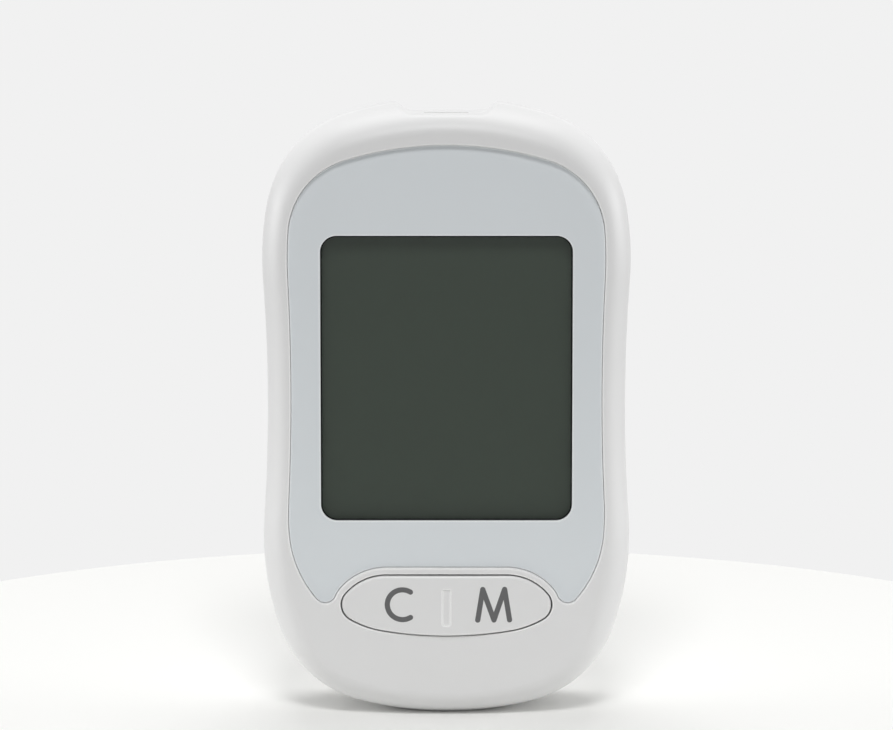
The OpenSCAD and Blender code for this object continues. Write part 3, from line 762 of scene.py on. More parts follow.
# %% [markdown]
# ## The battery cover
# A flat plate fills the opening flush with the back. It hangs on a round bead and two hooks at
# its upper end and is held by a springy tongue at its lower end, freed by two slots. Five rounded
# grooves give the thumb a grip. The plate could be one of the shell's own faces, separated, but a
# real cover is smaller than its opening by an even gap, so it is lofted from its own outline.

# %% Cover plate, bead and tongue
plate_z = (cover_z0, hinge_z)
cover_corner_r, cover_round, cover_rest = 0.4, 0.2, 0.15
tongue_x, tongue_slot, tongue_len = 5.3, 0.3, 6
grip_r, grip_w, grip_z, grip_step, grip_count = 0.42, 8, 16.9, 1.3, 5
hook_y = (8, 8.9)

edge = [(back_y - cover_round * (1 - math.sin(t)), cover_round * (1 - math.cos(t)))
        for t in reversed(quarter(2))]
cover = loft("battery_door", upright(
    rounded_window(2 * cover_half_w, plate_z[1] - plate_z[0], cover_corner_r, sum(plate_z) / 2, 4),
    edge + [(inner_back_y + cover_rest, 0)]))
join_solid(cover, bar("bead", "X", (0, hinge_y, hinge_z), bead_r, 2 * cover_half_w))
for x in (-tongue_x, tongue_x):
    cut(cover, box("slot", x - tongue_slot, x + tongue_slot, hook_y[0], back_y + over,
                   cover_z0 - over, cover_z0 + tongue_len))
for k in range(grip_count):
    cut(cover, bar("groove", "X", (0, back_y, grip_z + grip_step * k), grip_r, grip_w, 32))
print("cover with its grip:", len(cover.data.polygons), "faces")

# %% [markdown]
# ## The cover's inner side
# Two long ribs stiffen the plate between the cells, two flat hooks reach under the edge of the
# case, and a nib at the tongue's end catches it below. Extruding them from the plate would need
# faces of just their size in it. They are plain boxes instead, rooted a little way in the plate.

# %% Ribs, hooks and nib
rib_x, rib_half_w, rib_y, rib_z, rib_root_y = 0.9, 0.4, 8.2, (24, 58), inner_back_y + 0.2
nib_half_w, nib_z = 3.5, (cover_z0 - 0.1, cover_z0 + 1.2)
hook_root_y = inner_back_y + rooted

for side in (-1, 1):
    middle = side * rib_x
    join_solid(cover, box("rib", middle - rib_half_w, middle + rib_half_w, rib_y, rib_root_y, *rib_z))
    x0, x1 = side * hook_x - hook_w / 2, side * hook_x + hook_w / 2
    join_solid(cover, box("hook_root", x0, x1, hook_y[0], hook_root_y, hook_root_z, hinge_z))
    join_solid(cover, box("hook", x0, x1, *hook_y, hook_root_z, hook_tip_z))
join_solid(cover, box("nib", -nib_half_w, nib_half_w, rib_y, hook_root_y, *nib_z))
smooth(cover)
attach(cover, "cover")
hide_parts("battery_cover")
print("cover, finished:", len(cover.data.polygons), "faces")

# %% [markdown]
# ## The face plate
# The plate is a thin stamping with a satin film, sunk below the rim of the front shell. It is
# lofted from its own outline, a hair smaller than its bed, so that a fine even gap shows round
# it. Its outer edge is rounded over a few hundredths of a millimetre, and its window's edge a
# little more. Such edges are too fine to see as shapes, but they catch the light as a thin line.

# %% Face plate
plate_gap, plate_round, window_lip = 0.075, 0.06, 0.1
window = rounded_window(window_w, window_h, window_r, window_z)
panel = loft("face_panel", upright(plate_outline, [
    (face_y, plate_gap + plate_round), (face_y + plate_round / 3, plate_gap + plate_round / 3),
    (face_y + plate_round, plate_gap), (pocket_y, plate_gap)]))
cut(panel, loft("window", upright(window, mouth(face_y, pocket_y + over, window_lip))))
smooth(panel)
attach(panel, "case")
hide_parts("faceplate")
print("plate:", len(panel.data.polygons), "faces")

# %% [markdown]
# ## The display's border
# A fine black line is printed on the lens just inside the plate's window. On the real meter it
# hides the edge of the display behind it. A line on a texture would do, but it would blur when
# seen from near, so the print is a very thin frame that lies on the lens. Its outer side reaches
# under the plate.

# %% Printed border
border_w, border_under, border_proud, border_sunk = 0.24, 0.1, 0.015, 0.02
border_y = (lens_low.y - border_proud, lens_low.y + border_sunk)
border = loft("display_border", upright(window, [(y, -border_under) for y in border_y]))
cut(border, loft("inside", upright(window, [(border_y[0] - over, border_w),
                                            (border_y[1] + over, border_w)])))
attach(border, "case")
print("border:", len(border.data.polygons), "faces")

# %% [markdown]
# ## The rocking key
# One lens-shaped key, crowned from side to side and rolled over at its edge. A face that is
# simply extruded would be flat, and a subdivided one would lose the crisp outline. Here the last
# rings of the loft are scaled towards the middle and set on the crown, which gives even quads
# that take a soft highlight. Behind the front the outline steps out to a flange that keeps the
# key in its opening.

# %% Key body
crown_r, key_proud, key_roll = 200.0, 0.548, 0.32
key_front_y, key_middle = rim_y - key_proud, (key_top + key_low) / 2
flange_y, skirt_y = (-6.6, -7.3), -10
# How far each ring of the front lies from the middle, as a share of the outline
front_shares = (0.97, 0.9, 0.8, 0.65, 0.5, 0.35, 0.2, 0.08, 0.01)


def crown_y(x):
    return key_front_y + crown_r - math.sqrt(crown_r ** 2 - x ** 2)


def key_rings():
    rings = upright(key_outline, [(y, -flange_out) for y in flange_y] + [(flange_y[1], 0), (skirt_y, 0)])
    for turn in quarter(6):
        flat = moved(key_outline, key_roll * (1 - math.cos(turn)))
        rings.append([(p.x, crown_y(p.x) + key_roll * (1 - math.sin(turn)), p.y) for p in flat])
    rim = moved(key_outline, key_roll)
    for share in front_shares:
        rings.append([(p.x * share, crown_y(p.x * share), key_middle + (p.y - key_middle) * share)
                      for p in rim])
    return rings


key = loft("rocker_key", key_rings())
print("key body:", len(key.data.polygons), "faces")

# %% [markdown]
# ## Behind and on the key
# The key is hollow, so that it has an even wall. A spine stands in the hollow and carries the pin
# that the key rocks on, and two arms carry the plungers that press the domes of the mat. On the
# front a shallow bar parts the two functions. Where a real key is one moulding, bars and boxes
# are joined here, each with its end sunk in the next.

# %% Hollow, pin and plungers
key_wall, hollow_y = 1.2, (-9.9, -6)
bar_w, bar_h, bar_round, bar_deep, bar_lip, bar_z = 1.2, 5.9, 0.3, 0.25, 0.08, 18.0
spine_half_w, spine_behind_pin, spine_short, pin_short = 1.1, 0.5, 0.2, 0.1
pin_reach = flange_out + ear_gap + ear_t - pin_short
plunger_x, plunger_r, plunger_end_y = 10.5, 1.5, -5.3
arm_half_h, arm_back_y = 0.5, -7.6

cut(key, loft("key_hollow", upright(key_outline, [(y, key_wall) for y in hollow_y])),
    loft("parting_bar", upright(rounded_window(bar_w, bar_h, bar_round, bar_z, 6),
                                mouth(key_front_y, key_front_y + bar_deep, bar_lip))))
join_solid(key, box("spine", -spine_half_w, spine_half_w, skirt_y, pivot_y + spine_behind_pin,
                    key_low + spine_short, key_top - spine_short))
join_solid(key, bar("pin", "Z", (0, pivot_y, key_middle), pin_r, key_top - key_low + 2 * pin_reach, 48))
for side in (-1, 1):
    join_solid(key, bar_y("plunger", side * plunger_x, bar_z, plunger_r, skirt_y, plunger_end_y))
    x0, x1 = sorted((side, side * plunger_x))
    join_solid(key, box("arm", x0, x1, skirt_y, arm_back_y, bar_z - arm_half_h, bar_z + arm_half_h))
smooth(key)
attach(key, "key")
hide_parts("rocker_button")
print("key, finished:", len(key.data.polygons), "faces")

# %% [markdown]
# ## Function letters
# Each half of the key carries one plain grey letter, printed on the crown. A font would give
# letters with ends of its own. These are lines of even width with round ends, so each is drawn
# as an outline, lofted flat to the thickness of a print, and every vertex is then moved onto the
# crown. The left one is a round line that is open to the right.

# %% Left letter
stroke_w, print_t = 0.84, 0.012


def open_ring(centre, radius, opening, count=48):
    """Outline of a round line that is open to the right."""
    half = stroke_w / 2
    outer, inner = radius + half, radius - half
    top, low = centre + radius * direction(opening), centre + radius * direction(-opening)
    return (arc(centre, outer, 360 - opening, opening, count)
            + arc(top, half, opening, opening - 180, 8)
            + [(p, -n) for p, n in arc(centre, inner, opening, 360 - opening, count)]
            + arc(low, half, 180 - opening, -opening, 8))


def printed(name, outline):
    """A letter as thin as print, laid on the crown of the key."""
    letter = loft(name, upright(outline, [(0, 0), (2 * print_t, 0)]))
    for vertex in letter.data.vertices:
        vertex.co.y += (crown_y(vertex.co.x / MM) - print_t) * MM
    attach(letter, "key")
    return letter


letter_c = printed("letter_left", open_ring(Vector((-7.05, 18.5)), 2.43, 58))
print("left letter:", len(letter_c.data.polygons), "faces")

# %% [markdown]
# ## The right letter
# The second letter has four straight strokes between five points. Four strokes could be joined,
# but round ends of one size that share a centre join badly. So its whole outline is drawn in one
# walk along the strokes, there and back again, always on the left side of the line. Where the
# line turns away from that side, and at its two ends, the corner is round. Where it turns towards
# it, the sides of the two strokes simply cross.

# %% Right letter
peaks = [Vector(p) for p in ((5.0, 16.0), (5.8, 21.0), (7.6, 16.0), (9.3, 21.0), (10.1, 16.0))]


def stroked(points):
    """Outline of a line of even width with round ends."""
    half, outline = stroke_w / 2, []
    walk = points + points[-2::-1]
    for before, corner, after in zip(walk, walk[1:], walk[2:] + walk[1:2]):
        a, b = degrees_of(corner - before) + 90, degrees_of(after - corner) + 90
        turn = (b - a) % 360
        if turn > 179:
            outline += arc(corner, half, a, a + turn - 360, 16)
            outline.append((corner + half * direction(b), direction(b)))
        else:
            both = direction(a) + direction(b)
            outline.append((corner + both * half / (1 + direction(a).dot(direction(b))), both.normalized()))
    return outline


letter_m = printed("letter_right", stroked(peaks))
print("right letter:", len(letter_m.data.polygons), "faces")

# %% [markdown]
# ## Turned parts
# A cell is a drawn can, round about its axis. A cylinder with bevelled ends would miss the steps
# at its nub and at the sleeve. So half its profile is drawn as a line of vertices and spun once
# round the axis. The spin leaves its first and last line in one place, so the doubles are merged.


# %% Turning a profile
def turned(name, x, y, profile, steps=96):
    """A closed solid of revolution about an upright axis, from (radius, z) points in millimetres."""
    bpy.ops.mesh.primitive_circle_add(vertices=len(profile), radius=MM, fill_type="NOTHING")
    piece = bpy.context.object
    pick(piece)
    bpy.ops.object.mode_set(mode="EDIT")
    edit = bmesh.from_edit_mesh(piece.data)
    edit.verts.ensure_lookup_table()
    for vertex, (radius, z) in zip(edit.verts, profile):
        vertex.co = Vector((radius, 0, z)) * MM
    # The last edge of the circle would lie on the axis, so it isn't turned
    edit.edges.remove(edit.edges.get((edit.verts[0], edit.verts[-1])))
    bmesh.update_edit_mesh(piece.data)
    bpy.ops.mesh.select_all(action="SELECT")
    bpy.ops.mesh.spin(steps=steps, angle=2 * math.pi, center=(0, 0, 0), axis=(0, 0, 1))
    bpy.ops.mesh.select_all(action="SELECT")
    bpy.ops.mesh.remove_doubles(threshold=0.0005 * MM)
    bpy.ops.mesh.normals_make_consistent(inside=False)
    bpy.ops.object.mode_set(mode="OBJECT")
    piece.location = (x * MM, y * MM, 0)
    return settle(piece, name)


trial = turned("trial", 0, 0, [(0, 0), (2, 0), (2, 5), (0, 5)])
print("a trial, turned from four points:", len(trial.data.polygons), "faces")
bpy.data.objects.remove(trial)

# %% [markdown]
# ## Eased corners
# Sheet metal can't be bent to a sharp corner. A bevel modifier on the finished can would round
# its edges, but also the fine steps of the sleeve, where it has no room. So each corner of the
# profile itself is eased before it is turned, by a short curve that never reaches further than
# half way to the next corner.


# %% Easing a profile
def eased(points, radius=0.3, steps=4):
    """Rounds each inner corner of an open line by a short arc-like curve."""
    line = [points[0]]
    for before, corner, after in zip(points, points[1:], points[2:]):
        a, b, c = Vector(before), Vector(corner), Vector(after)
        reach = min(radius, (b - a).length / 2.1, (c - b).length / 2.1)
        start, end = b + (a - b).normalized() * reach, b + (c - b).normalized() * reach
        for k in range(steps + 1):
            t = k / steps
            line.append(tuple(start * (1 - t) ** 2 + b * 2 * t * (1 - t) + end * t ** 2))
    return line + [points[-1]]


print("a corner, eased:", [(round(x, 2), round(z, 2)) for x, z in eased([(0, 0), (1, 0), (1, 1)])])

# %% [markdown]
# ## Two cells
# With the cover swung out the two cells come into view. Each has a flat end, a can that is rolled
# over at both ends, a printed sleeve that stops short of the rims, and a nub. The cells lie head
# to tail, so the left one is modelled, and its copy, with a mesh of its own, is turned over about
# the middle of the bay.

# %% Two cells
cell_len, nub_r, sleeve_t = left_high.z - left_low.z, 1.9, 0.1
# A turned piece stays this far inside its CAD shape, and half as far at its side
hair = 0.02
sleeve_from, sleeve_to, band_from = 1.3, cell_len - 2.1, cell_len - 12.0


def aaa_cell(name):
    """The cell on the left, standing on its flat end."""
    r = cell_r - hair / 2
    can_r = r - sleeve_t
    flat_end = [(0, hair), (3.2, hair), (3.5, 0.3), (4.6, 0.3), (can_r, 0.5)]
    sleeve = [(can_r, sleeve_from), (r, sleeve_from + sleeve_t), (r, band_from), (r, sleeve_to - sleeve_t),
              (can_r, sleeve_to)]
    shoulder = [(can_r, cell_len - 1.3), (4.4, cell_len - 1.1), (3.9, cell_len - 1.35)]
    nub = [(nub_r + 0.5, cell_len - 1.3), (nub_r, cell_len - 1.1), (nub_r, cell_len - 0.25),
           (nub_r - 0.3, cell_len - hair), (0, cell_len - hair)]
    rising = flat_end + sleeve + shoulder + nub
    cell = turned(name, -cell_x, cell_y, [(radius, left_low.z + z) for radius, z in eased(rising, 0.12)])
    smooth(cell, 40)
    return cell


def turned_over(piece, name):
    """A copy with its own mesh, in the other place of the bay and the other way up."""
    pick(piece)
    bpy.ops.object.duplicate()
    middle_z = (left_low.z + box_of("battery_right")[1].z) / 2
    bpy.ops.transform.rotate(value=math.pi, orient_axis="Y", center_override=(0, 0, middle_z * MM))
    return settle(bpy.context.object, name)


left_cell = aaa_cell("battery_left_cell")
cells = [left_cell, turned_over(left_cell, "battery_right_cell")]
for cell, node in zip(cells, ("battery_left", "battery_right")):
    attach(cell, "case")
    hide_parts(node)
print("a cell:", len(left_cell.data.polygons), "faces")

# %% [markdown]
# ## Two springs
# Each cell is pressed against its contact by a conical spring, wide where it rests and narrow
# where it meets the cell. A spring is a wire, so it isn't modelled as a solid: its middle line is
# a curve whose radius shrinks from turn to turn, and the curve's round bevel gives it the
# thickness of the wire. The curve is then made a mesh, and the second spring is its copy.

# %% Two springs
wire_r, wide_r, narrow_r, spring_turns, per_turn = 0.3, 3.4, 2.0, 4, 32


def spring(name, x, z_wide, z_narrow):
    path = bpy.data.curves.new(name, "CURVE")
    path.dimensions = "3D"
    path.bevel_depth = wire_r * MM
    path.bevel_resolution = 4
    path.use_fill_caps = True
    line = path.splines.new("POLY")
    count = spring_turns * per_turn
    line.points.add(count)
    for k, point in enumerate(line.points):
        share, turn = k / count, 2 * math.pi * k / per_turn
        radius = wide_r + (narrow_r - wide_r) * share
        z = z_wide + wire_r + (z_narrow - z_wide - 2 * wire_r) * share
        point.co = ((x + radius * math.cos(turn)) * MM, (cell_y + radius * math.sin(turn)) * MM, z * MM, 1)
    coil = bpy.data.objects.new(name, path)
    bpy.context.scene.collection.objects.link(coil)
    pick(coil)
    bpy.ops.object.convert(target="MESH")
    coil = bpy.context.object
    smooth(coil, 60)
    return coil


low_spring = spring("spring_low", -cell_x, box_of("battery_springs")[0].z, left_low.z - hair / 2)
springs = [low_spring, turned_over(low_spring, "spring_high")]
for coil in springs:
    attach(coil, "case")
    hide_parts("battery_springs")
print("a spring:", len(low_spring.data.polygons), "faces")

# %% [markdown]
# ## Patterns that several finishes share
# Three effects come back in many finishes, so each is a node group that is built once and placed
# in each material with its own values. "Fine grain" is the faint texture of a moulded or cast
# surface, given as a height. "Cloudy" is a soft large-scale variation, so that no surface is one
# flat tone. "Edge mask" is bright where a surface turns sharply: on the metals, the nylon and the
# sleeves it marks wear, and on the white case, the key and the plate it places a painted highlight
# along edges and lips. A group gives out only values that change over the surface, and the shader
# itself stays in each material. The two noises are made first. They read the object's own
# coordinates, so the pattern stays on the piece when it moves.


# %% Fine grain and cloudy
def new_group(name, inputs, outputs):
    group = bpy.data.node_groups.new(name, "ShaderNodeTree")
    for label, value in inputs.items():
        socket = group.interface.new_socket(label, in_out="INPUT", socket_type="NodeSocketFloat")
        socket.default_value = value
    for label in outputs:
        group.interface.new_socket(label, in_out="OUTPUT", socket_type="NodeSocketFloat")
    return group, group.nodes.new("NodeGroupInput"), group.nodes.new("NodeGroupOutput")


def noise_group(name, output, scale, detail, roughness):
    group, given, out = new_group(name, {"Scale": scale}, [output])
    place = group.nodes.new("ShaderNodeTexCoord")
    texture = group.nodes.new("ShaderNodeTexNoise")
    texture.inputs["Detail"].default_value = detail
    texture.inputs["Roughness"].default_value = roughness
    group.links.new(place.outputs["Object"], texture.inputs["Vector"])
    group.links.new(given.outputs["Scale"], texture.inputs["Scale"])
    group.links.new(texture.outputs["Fac"], out.inputs[output])
    return group


fine_grain = noise_group("fine grain", "Height", 3000.0, 3.0, 0.5)
cloudy = noise_group("cloudy", "Amount", 60.0, 4.0, 0.6)
print("node groups:", [group.name for group in bpy.data.node_groups])

# %% [markdown]
# ## Worn edges and painted edge highlights
# The edge mask finds where a surface turns sharply. On the metals, the nylon and the sleeves its
# colour is wear; on the white case, the key and the plate it is a painted highlight along edges
# and lips. To find these edges, the surface's normal is compared with one that is rounded over a
# short distance: where the two differ, the surface turns. Pointiness would be quicker, but it
# depends on how fine the mesh is.


# %% Edge mask
def feed(tree, socket, value):
    """Sets a socket to a value, or links it where the value is another node's output."""
    if isinstance(value, bpy.types.NodeSocket):
        tree.links.new(value, socket)
    else:
        socket.default_value = value


def calculated(tree, operation, first, second):
    node = tree.nodes.new("ShaderNodeMath")
    node.operation = operation
    feed(tree, node.inputs[0], first)
    feed(tree, node.inputs[1], second)
    return node.outputs[0]


def edge_group():
    group, given, out = new_group("edge mask", {"Strength": 6.0}, ["Mask"])
    rounded = group.nodes.new("ShaderNodeBevel")
    rounded.samples = 4
    rounded.inputs["Radius"].default_value = 0.4 * MM
    surface = group.nodes.new("ShaderNodeNewGeometry")
    dot = group.nodes.new("ShaderNodeVectorMath")
    dot.operation = "DOT_PRODUCT"
    group.links.new(rounded.outputs["Normal"], dot.inputs[0])
    group.links.new(surface.outputs["Normal"], dot.inputs[1])
    differs = calculated(group, "SUBTRACT", 1.0, dot.outputs["Value"])
    gained = calculated(group, "MULTIPLY", differs, given.outputs["Strength"])
    gained.node.use_clamp = True
    group.links.new(gained, out.inputs["Mask"])
    return group


edge_mask = edge_group()
print("inputs of the edge mask:", [item.name for item in edge_mask.interface.items_tree])

# %% [markdown]
# ## Copper tracks
# The board carries copper tracks under its green mask, bundles of parallel lines with square
# corners. Drawn one by one they would be hundreds of thin pieces. A pattern does as well, because
# the mask is level above them: the distance to the nearest point of a Voronoi pattern, measured
# along the axes, grows in square rings, and each ring becomes one line.


# %% Tracks
def tracks_group():
    group, given, out = new_group("tracks", {"Scale": 110.0}, ["Mask"])
    place = group.nodes.new("ShaderNodeTexCoord")
    rings = group.nodes.new("ShaderNodeTexVoronoi")
    rings.distance = "CHEBYCHEV"
    group.links.new(place.outputs["Object"], rings.inputs["Vector"])
    group.links.new(given.outputs["Scale"], rings.inputs["Scale"])
    # The distance is multiplied, its whole part is dropped, and the upper part of the rest is a line
    value = rings.outputs["Distance"]
    for operation, number in (("MULTIPLY", 9.0), ("FRACT", 0.0), ("GREATER_THAN", 0.66)):
        value = calculated(group, operation, value, number)
    group.links.new(value, out.inputs["Mask"])
    return group


tracks_mask = tracks_group()
print("node groups:", [group.name for group in bpy.data.node_groups])

# %% [markdown]
# ## Colours and how they are mixed
# A colour is read off a paint chart as three values from 0 to 255, which follow the eye and not
# the light. The shader counts light, so each value is turned into a linear one first. Without
# that every tone would come out pale. The other helpers add one node each: a placed group, a
# change of range and a mix of two colours.


# %% Colours
def srgb(r, g, b):
    """A colour as a paint chart gives it, 0 to 255, turned into the shader's linear values."""
    def linear(c):
        c /= 255
        return c / 12.92 if c <= 0.04045 else ((c + 0.055) / 1.055) ** 2.4
    return (linear(r), linear(g), linear(b), 1.0)


def placed(tree, group, label, value):
    node = tree.nodes.new("ShaderNodeGroup")
    node.node_tree = group
    node.inputs[label].default_value = value
    return node.outputs[0]


def ranged(tree, source, low, high):
    """Maps 0..1 onto low..high."""
    node = tree.nodes.new("ShaderNodeMapRange")
    node.inputs["To Min"].default_value = low
    node.inputs["To Max"].default_value = high
    tree.links.new(source, node.inputs["Value"])
    return node.outputs["Result"]


def mixed(tree, amount, first, second):
    """Mixes two colours; each may be a colour or a node's output."""
    node = tree.nodes.new("ShaderNodeMix")
    node.data_type = "RGBA"
    tree.links.new(amount, node.inputs["Factor"])
    feed(tree, node.inputs[6], first)
    feed(tree, node.inputs[7], second)
    return node.outputs[2]


def shaded(colour, factor):
    return tuple(min(c * factor, 1.0) for c in colour[:3]) + (1.0,)


print("a middle grey in linear light:", [round(c, 3) for c in srgb(128, 128, 128)[:3]])

# %% [markdown]
# ## A finish
# Every finish starts the same way: a shader whose colour and roughness are varied by the cloudy
# pattern, a bump from the fine grain, and an edge colour that is wear on some finishes and a
# painted highlight on others. What differs is the numbers: how much the tone may vary, how coarse
# the grain is, how bright the edges are. So one function builds them all, and each material is a
# single call that reads like a paint chart. The roughness swings by about an eighth either way, so
# that a highlight is never quite even.

# %% Finish
rough_swing = 0.12


def finish_of(name, colour, rough, vary=0.03, cloud=60.0, grain=3000.0, grain_depth=0.004,
              wear_and_highlight=None, wear_and_highlight_strength=6.0, tracks=None, **constants):
    """A finish: base colour, roughness, variation, grain, edge wear and painted edge highlights, tracks."""
    material = bpy.data.materials.new(name)
    material.use_nodes = True
    tree = material.node_tree
    shader = tree.nodes["Principled BSDF"]
    for label, value in constants.items():
        shader.inputs[label.replace("_", " ")].default_value = value
    clouds = placed(tree, cloudy, "Scale", cloud)
    tone = mixed(tree, clouds, shaded(colour, 1 - vary), shaded(colour, 1 + vary))
    if tracks:
        tone = mixed(tree, placed(tree, tracks_mask, "Scale", 110.0), tone, tracks)
    # On the white case, the key and the plate this edge colour is a painted highlight; on metals, nylon and
    # sleeves it is wear
    if wear_and_highlight:
        tone = mixed(tree, placed(tree, edge_mask, "Strength", wear_and_highlight_strength), tone, wear_and_highlight)
    tree.links.new(tone, shader.inputs["Base Color"])
    varied = ranged(tree, clouds, rough * (1 - rough_swing), rough * (1 + rough_swing))
    tree.links.new(varied, shader.inputs["Roughness"])
    bump = tree.nodes.new("ShaderNodeBump")
    bump.inputs["Strength"].default_value = 1.0
    bump.inputs["Distance"].default_value = grain_depth * MM
    tree.links.new(placed(tree, fine_grain, "Scale", grain), bump.inputs["Height"])
    tree.links.new(bump.outputs["Normal"], shader.inputs["Normal"])
    return material


def wear_finish(material, *pieces):
    """Gives each piece this one material."""
    for piece in pieces:
        piece.data.materials.clear()
        piece.data.materials.append(material)


print("a finish swings by", rough_swing, "in its roughness")

# %% [markdown]
# ## The case, the key and the plate
# The shells and the cover are white ABS with a satin mould texture. The key is of the same white
# but a little smoother from use, and catches the light at its edges. On the shells, the cover, the
# key and the plate, the near-white edge colour is a painted highlight along edges and lips. The
# plate is a pale blue-grey film. The letters and the border are printing ink, which is matt and
# has hardly any grain. A painted texture would hold light of its own; apart from those painted
# edge highlights, tones and roughness alone let the lamps do their work.

# %% White, film and print
white = srgb(227, 227, 227)
# The near-white edge colours below are painted highlights on the edges and lips of the case, key and plate
case_white = finish_of("case white", white, 0.46, vary=0.012, cloud=90.0, grain=4200.0, grain_depth=0.0035,
                       wear_and_highlight=srgb(254, 254, 253), wear_and_highlight_strength=14.0)
key_white = finish_of("key white", white, 0.32, vary=0.01, cloud=150.0, grain=5200.0,
                      grain_depth=0.002, wear_and_highlight=srgb(255, 255, 255), wear_and_highlight_strength=20.0)
film_grey = finish_of("plate film", srgb(219, 224, 227), 0.42, vary=0.012, cloud=70.0, grain=6500.0,
                      grain_depth=0.0015, wear_and_highlight=srgb(252, 254, 255), wear_and_highlight_strength=20.0)
print_grey = finish_of("grey print", srgb(93, 93, 94), 0.5, vary=0.05, cloud=900.0, grain=9000.0,
                       grain_depth=0.001)
print_black = finish_of("black print", srgb(8, 9, 9), 0.5, vary=0.1, cloud=400.0, grain=9000.0,
                        grain_depth=0.001, Specular_IOR_Level=0.12)
wear_finish(case_white, front, rear, cover)
wear_finish(key_white, key)
wear_finish(film_grey, panel)
wear_finish(print_grey, letter_c, letter_m)
wear_finish(print_black, border)
print("finishes so far:", len(bpy.data.materials))

# %% [markdown]
# ## The display
# A liquid crystal display that is off is grey-green: a polarizing film over two panes of glass,
# with a dull reflector behind them and a clear lens in front. Real glass in all these thin layers
# would cost many bounces of light and show nothing more. So the lens and the panes are plain
# dark and green surfaces that let part of the light through by their alpha, and the film sets
# the tone that the eye sees.

# %% Display
lens_clear = finish_of("lens", srgb(20, 22, 20), 0.06, vary=0.1, cloud=40.0, grain=700.0,
                       grain_depth=0.0004, Alpha=0.3)
display_film = finish_of("display film", srgb(104, 120, 105), 0.45, vary=0.02, cloud=35.0, grain=8000.0,
                         grain_depth=0.001)
glass_green = finish_of("display glass", srgb(150, 168, 152), 0.08, vary=0.02, cloud=40.0, grain=600.0,
                        grain_depth=0.0004, Alpha=0.45)
display_back = finish_of("display back", srgb(84, 92, 84), 0.6, vary=0.04, cloud=50.0)
wear_finish(lens_clear, nodes["display_window"])
wear_finish(display_film, nodes["lcd_polarizer"])
wear_finish(glass_green, nodes["lcd_front_glass"], nodes["lcd_rear_glass"])
wear_finish(display_back, nodes["lcd_reflector"])
print("finishes so far:", len(bpy.data.materials))

# %% [markdown]
# ## Rubber, plastics and chips inside
# The mat under the key is pale silicone with pills of black carbon rubber, and the display stands
# on a strip of rubber with fine dark layers. The chips are black epoxy with a coarse moulded
# grain, and the buzzer and the strip connector are black nylon. The board is green solder mask,
# which lies a little brighter over its copper tracks. All these pieces are hidden in a closed
# meter, but each is a real part that may be shown on its own, so each gets its own finish.

# %% Inner plastics and the board
silicone = finish_of("silicone", srgb(205, 208, 212), 0.6, vary=0.03, cloud=200.0, grain=2500.0)
carbon = finish_of("carbon", srgb(32, 32, 33), 0.8, vary=0.2, cloud=900.0, grain=5000.0, grain_depth=0.01)
holder_plastic = finish_of("holder plastic", srgb(226, 226, 221), 0.55, vary=0.03, cloud=100.0)
zebra = finish_of("zebra", srgb(52, 52, 56), 0.7, vary=0.5, cloud=2500.0)
chip_epoxy = finish_of("chip epoxy", srgb(36, 36, 38), 0.55, vary=0.15, cloud=700.0, grain=4000.0,
                       grain_depth=0.012)
black_nylon = finish_of("black nylon", srgb(40, 40, 42), 0.5, vary=0.12, cloud=250.0, grain=2600.0,
                        grain_depth=0.01, wear_and_highlight=srgb(74, 74, 76))
ceramic = finish_of("ceramic", srgb(166, 140, 106), 0.45, vary=0.12, cloud=500.0)
solder_mask = finish_of("solder mask", srgb(34, 104, 62), 0.35, vary=0.12, cloud=160.0,
                        tracks=srgb(62, 140, 88))
wear_finish(silicone, nodes["keypad_mat"])
wear_finish(carbon, nodes["carbon_pills"])
wear_finish(holder_plastic, nodes["lcd_holder"])
wear_finish(zebra, nodes["zebra_strip"])
wear_finish(chip_epoxy, nodes["microcontroller"], nodes["memory_chip"], nodes["analog_chip"])
wear_finish(black_nylon, nodes["buzzer"], nodes["strip_connector"])
wear_finish(ceramic, nodes["board_passives"])
wear_finish(solder_mask, nodes["main_board"])
print("finishes so far:", len(bpy.data.materials))

# %% [markdown]
# ## Metals inside
# What carries current is plated: gold where strips and pills touch, nickel on the cells' contacts
# and springs. The crystal's can is tinned and the screws are zinc-plated. A metal has no colour
# under its shine, so its tone is the tone of its reflections. It is set by Metallic and a low
# roughness, with slightly brighter edges where the plating is thickest and most rubbed.

# %% Inner metals
gold = finish_of("gold plating", srgb(226, 186, 104), 0.22, vary=0.06, cloud=300.0,
                 wear_and_highlight=srgb(238, 208, 140), Metallic=1.0)
tin = finish_of("tin can", srgb(205, 205, 203), 0.25, vary=0.05, cloud=300.0, Metallic=1.0)
nickel = finish_of("nickel plating", srgb(200, 198, 192), 0.24, vary=0.05, cloud=400.0,
                   wear_and_highlight=srgb(232, 231, 228), Metallic=1.0)
zinc = finish_of("zinc plating", srgb(176, 178, 180), 0.32, vary=0.08, cloud=600.0,
                 wear_and_highlight=srgb(222, 222, 222), Metallic=1.0)
wear_finish(gold, nodes["key_contacts"], nodes["strip_contacts"])
wear_finish(tin, nodes["crystal"])
wear_finish(nickel, nodes["contact_positive"], nodes["contact_negative"], nodes["contact_bridge"],
            *springs)
wear_finish(zinc, nodes["case_screws"], nodes["board_screws"])
print("finishes so far:", len(bpy.data.materials))

# %% [markdown]
# ## The cells' sleeves
# A cell is bare metal at its ends. Round it lies a printed sleeve, blue with a copper-coloured
# band near the nub. The sleeve isn't a piece of its own: the faces of the can between its two
# steps take other materials. They are picked by their height above the flat end, which for the
# cell that stands on its nub is measured from the top.

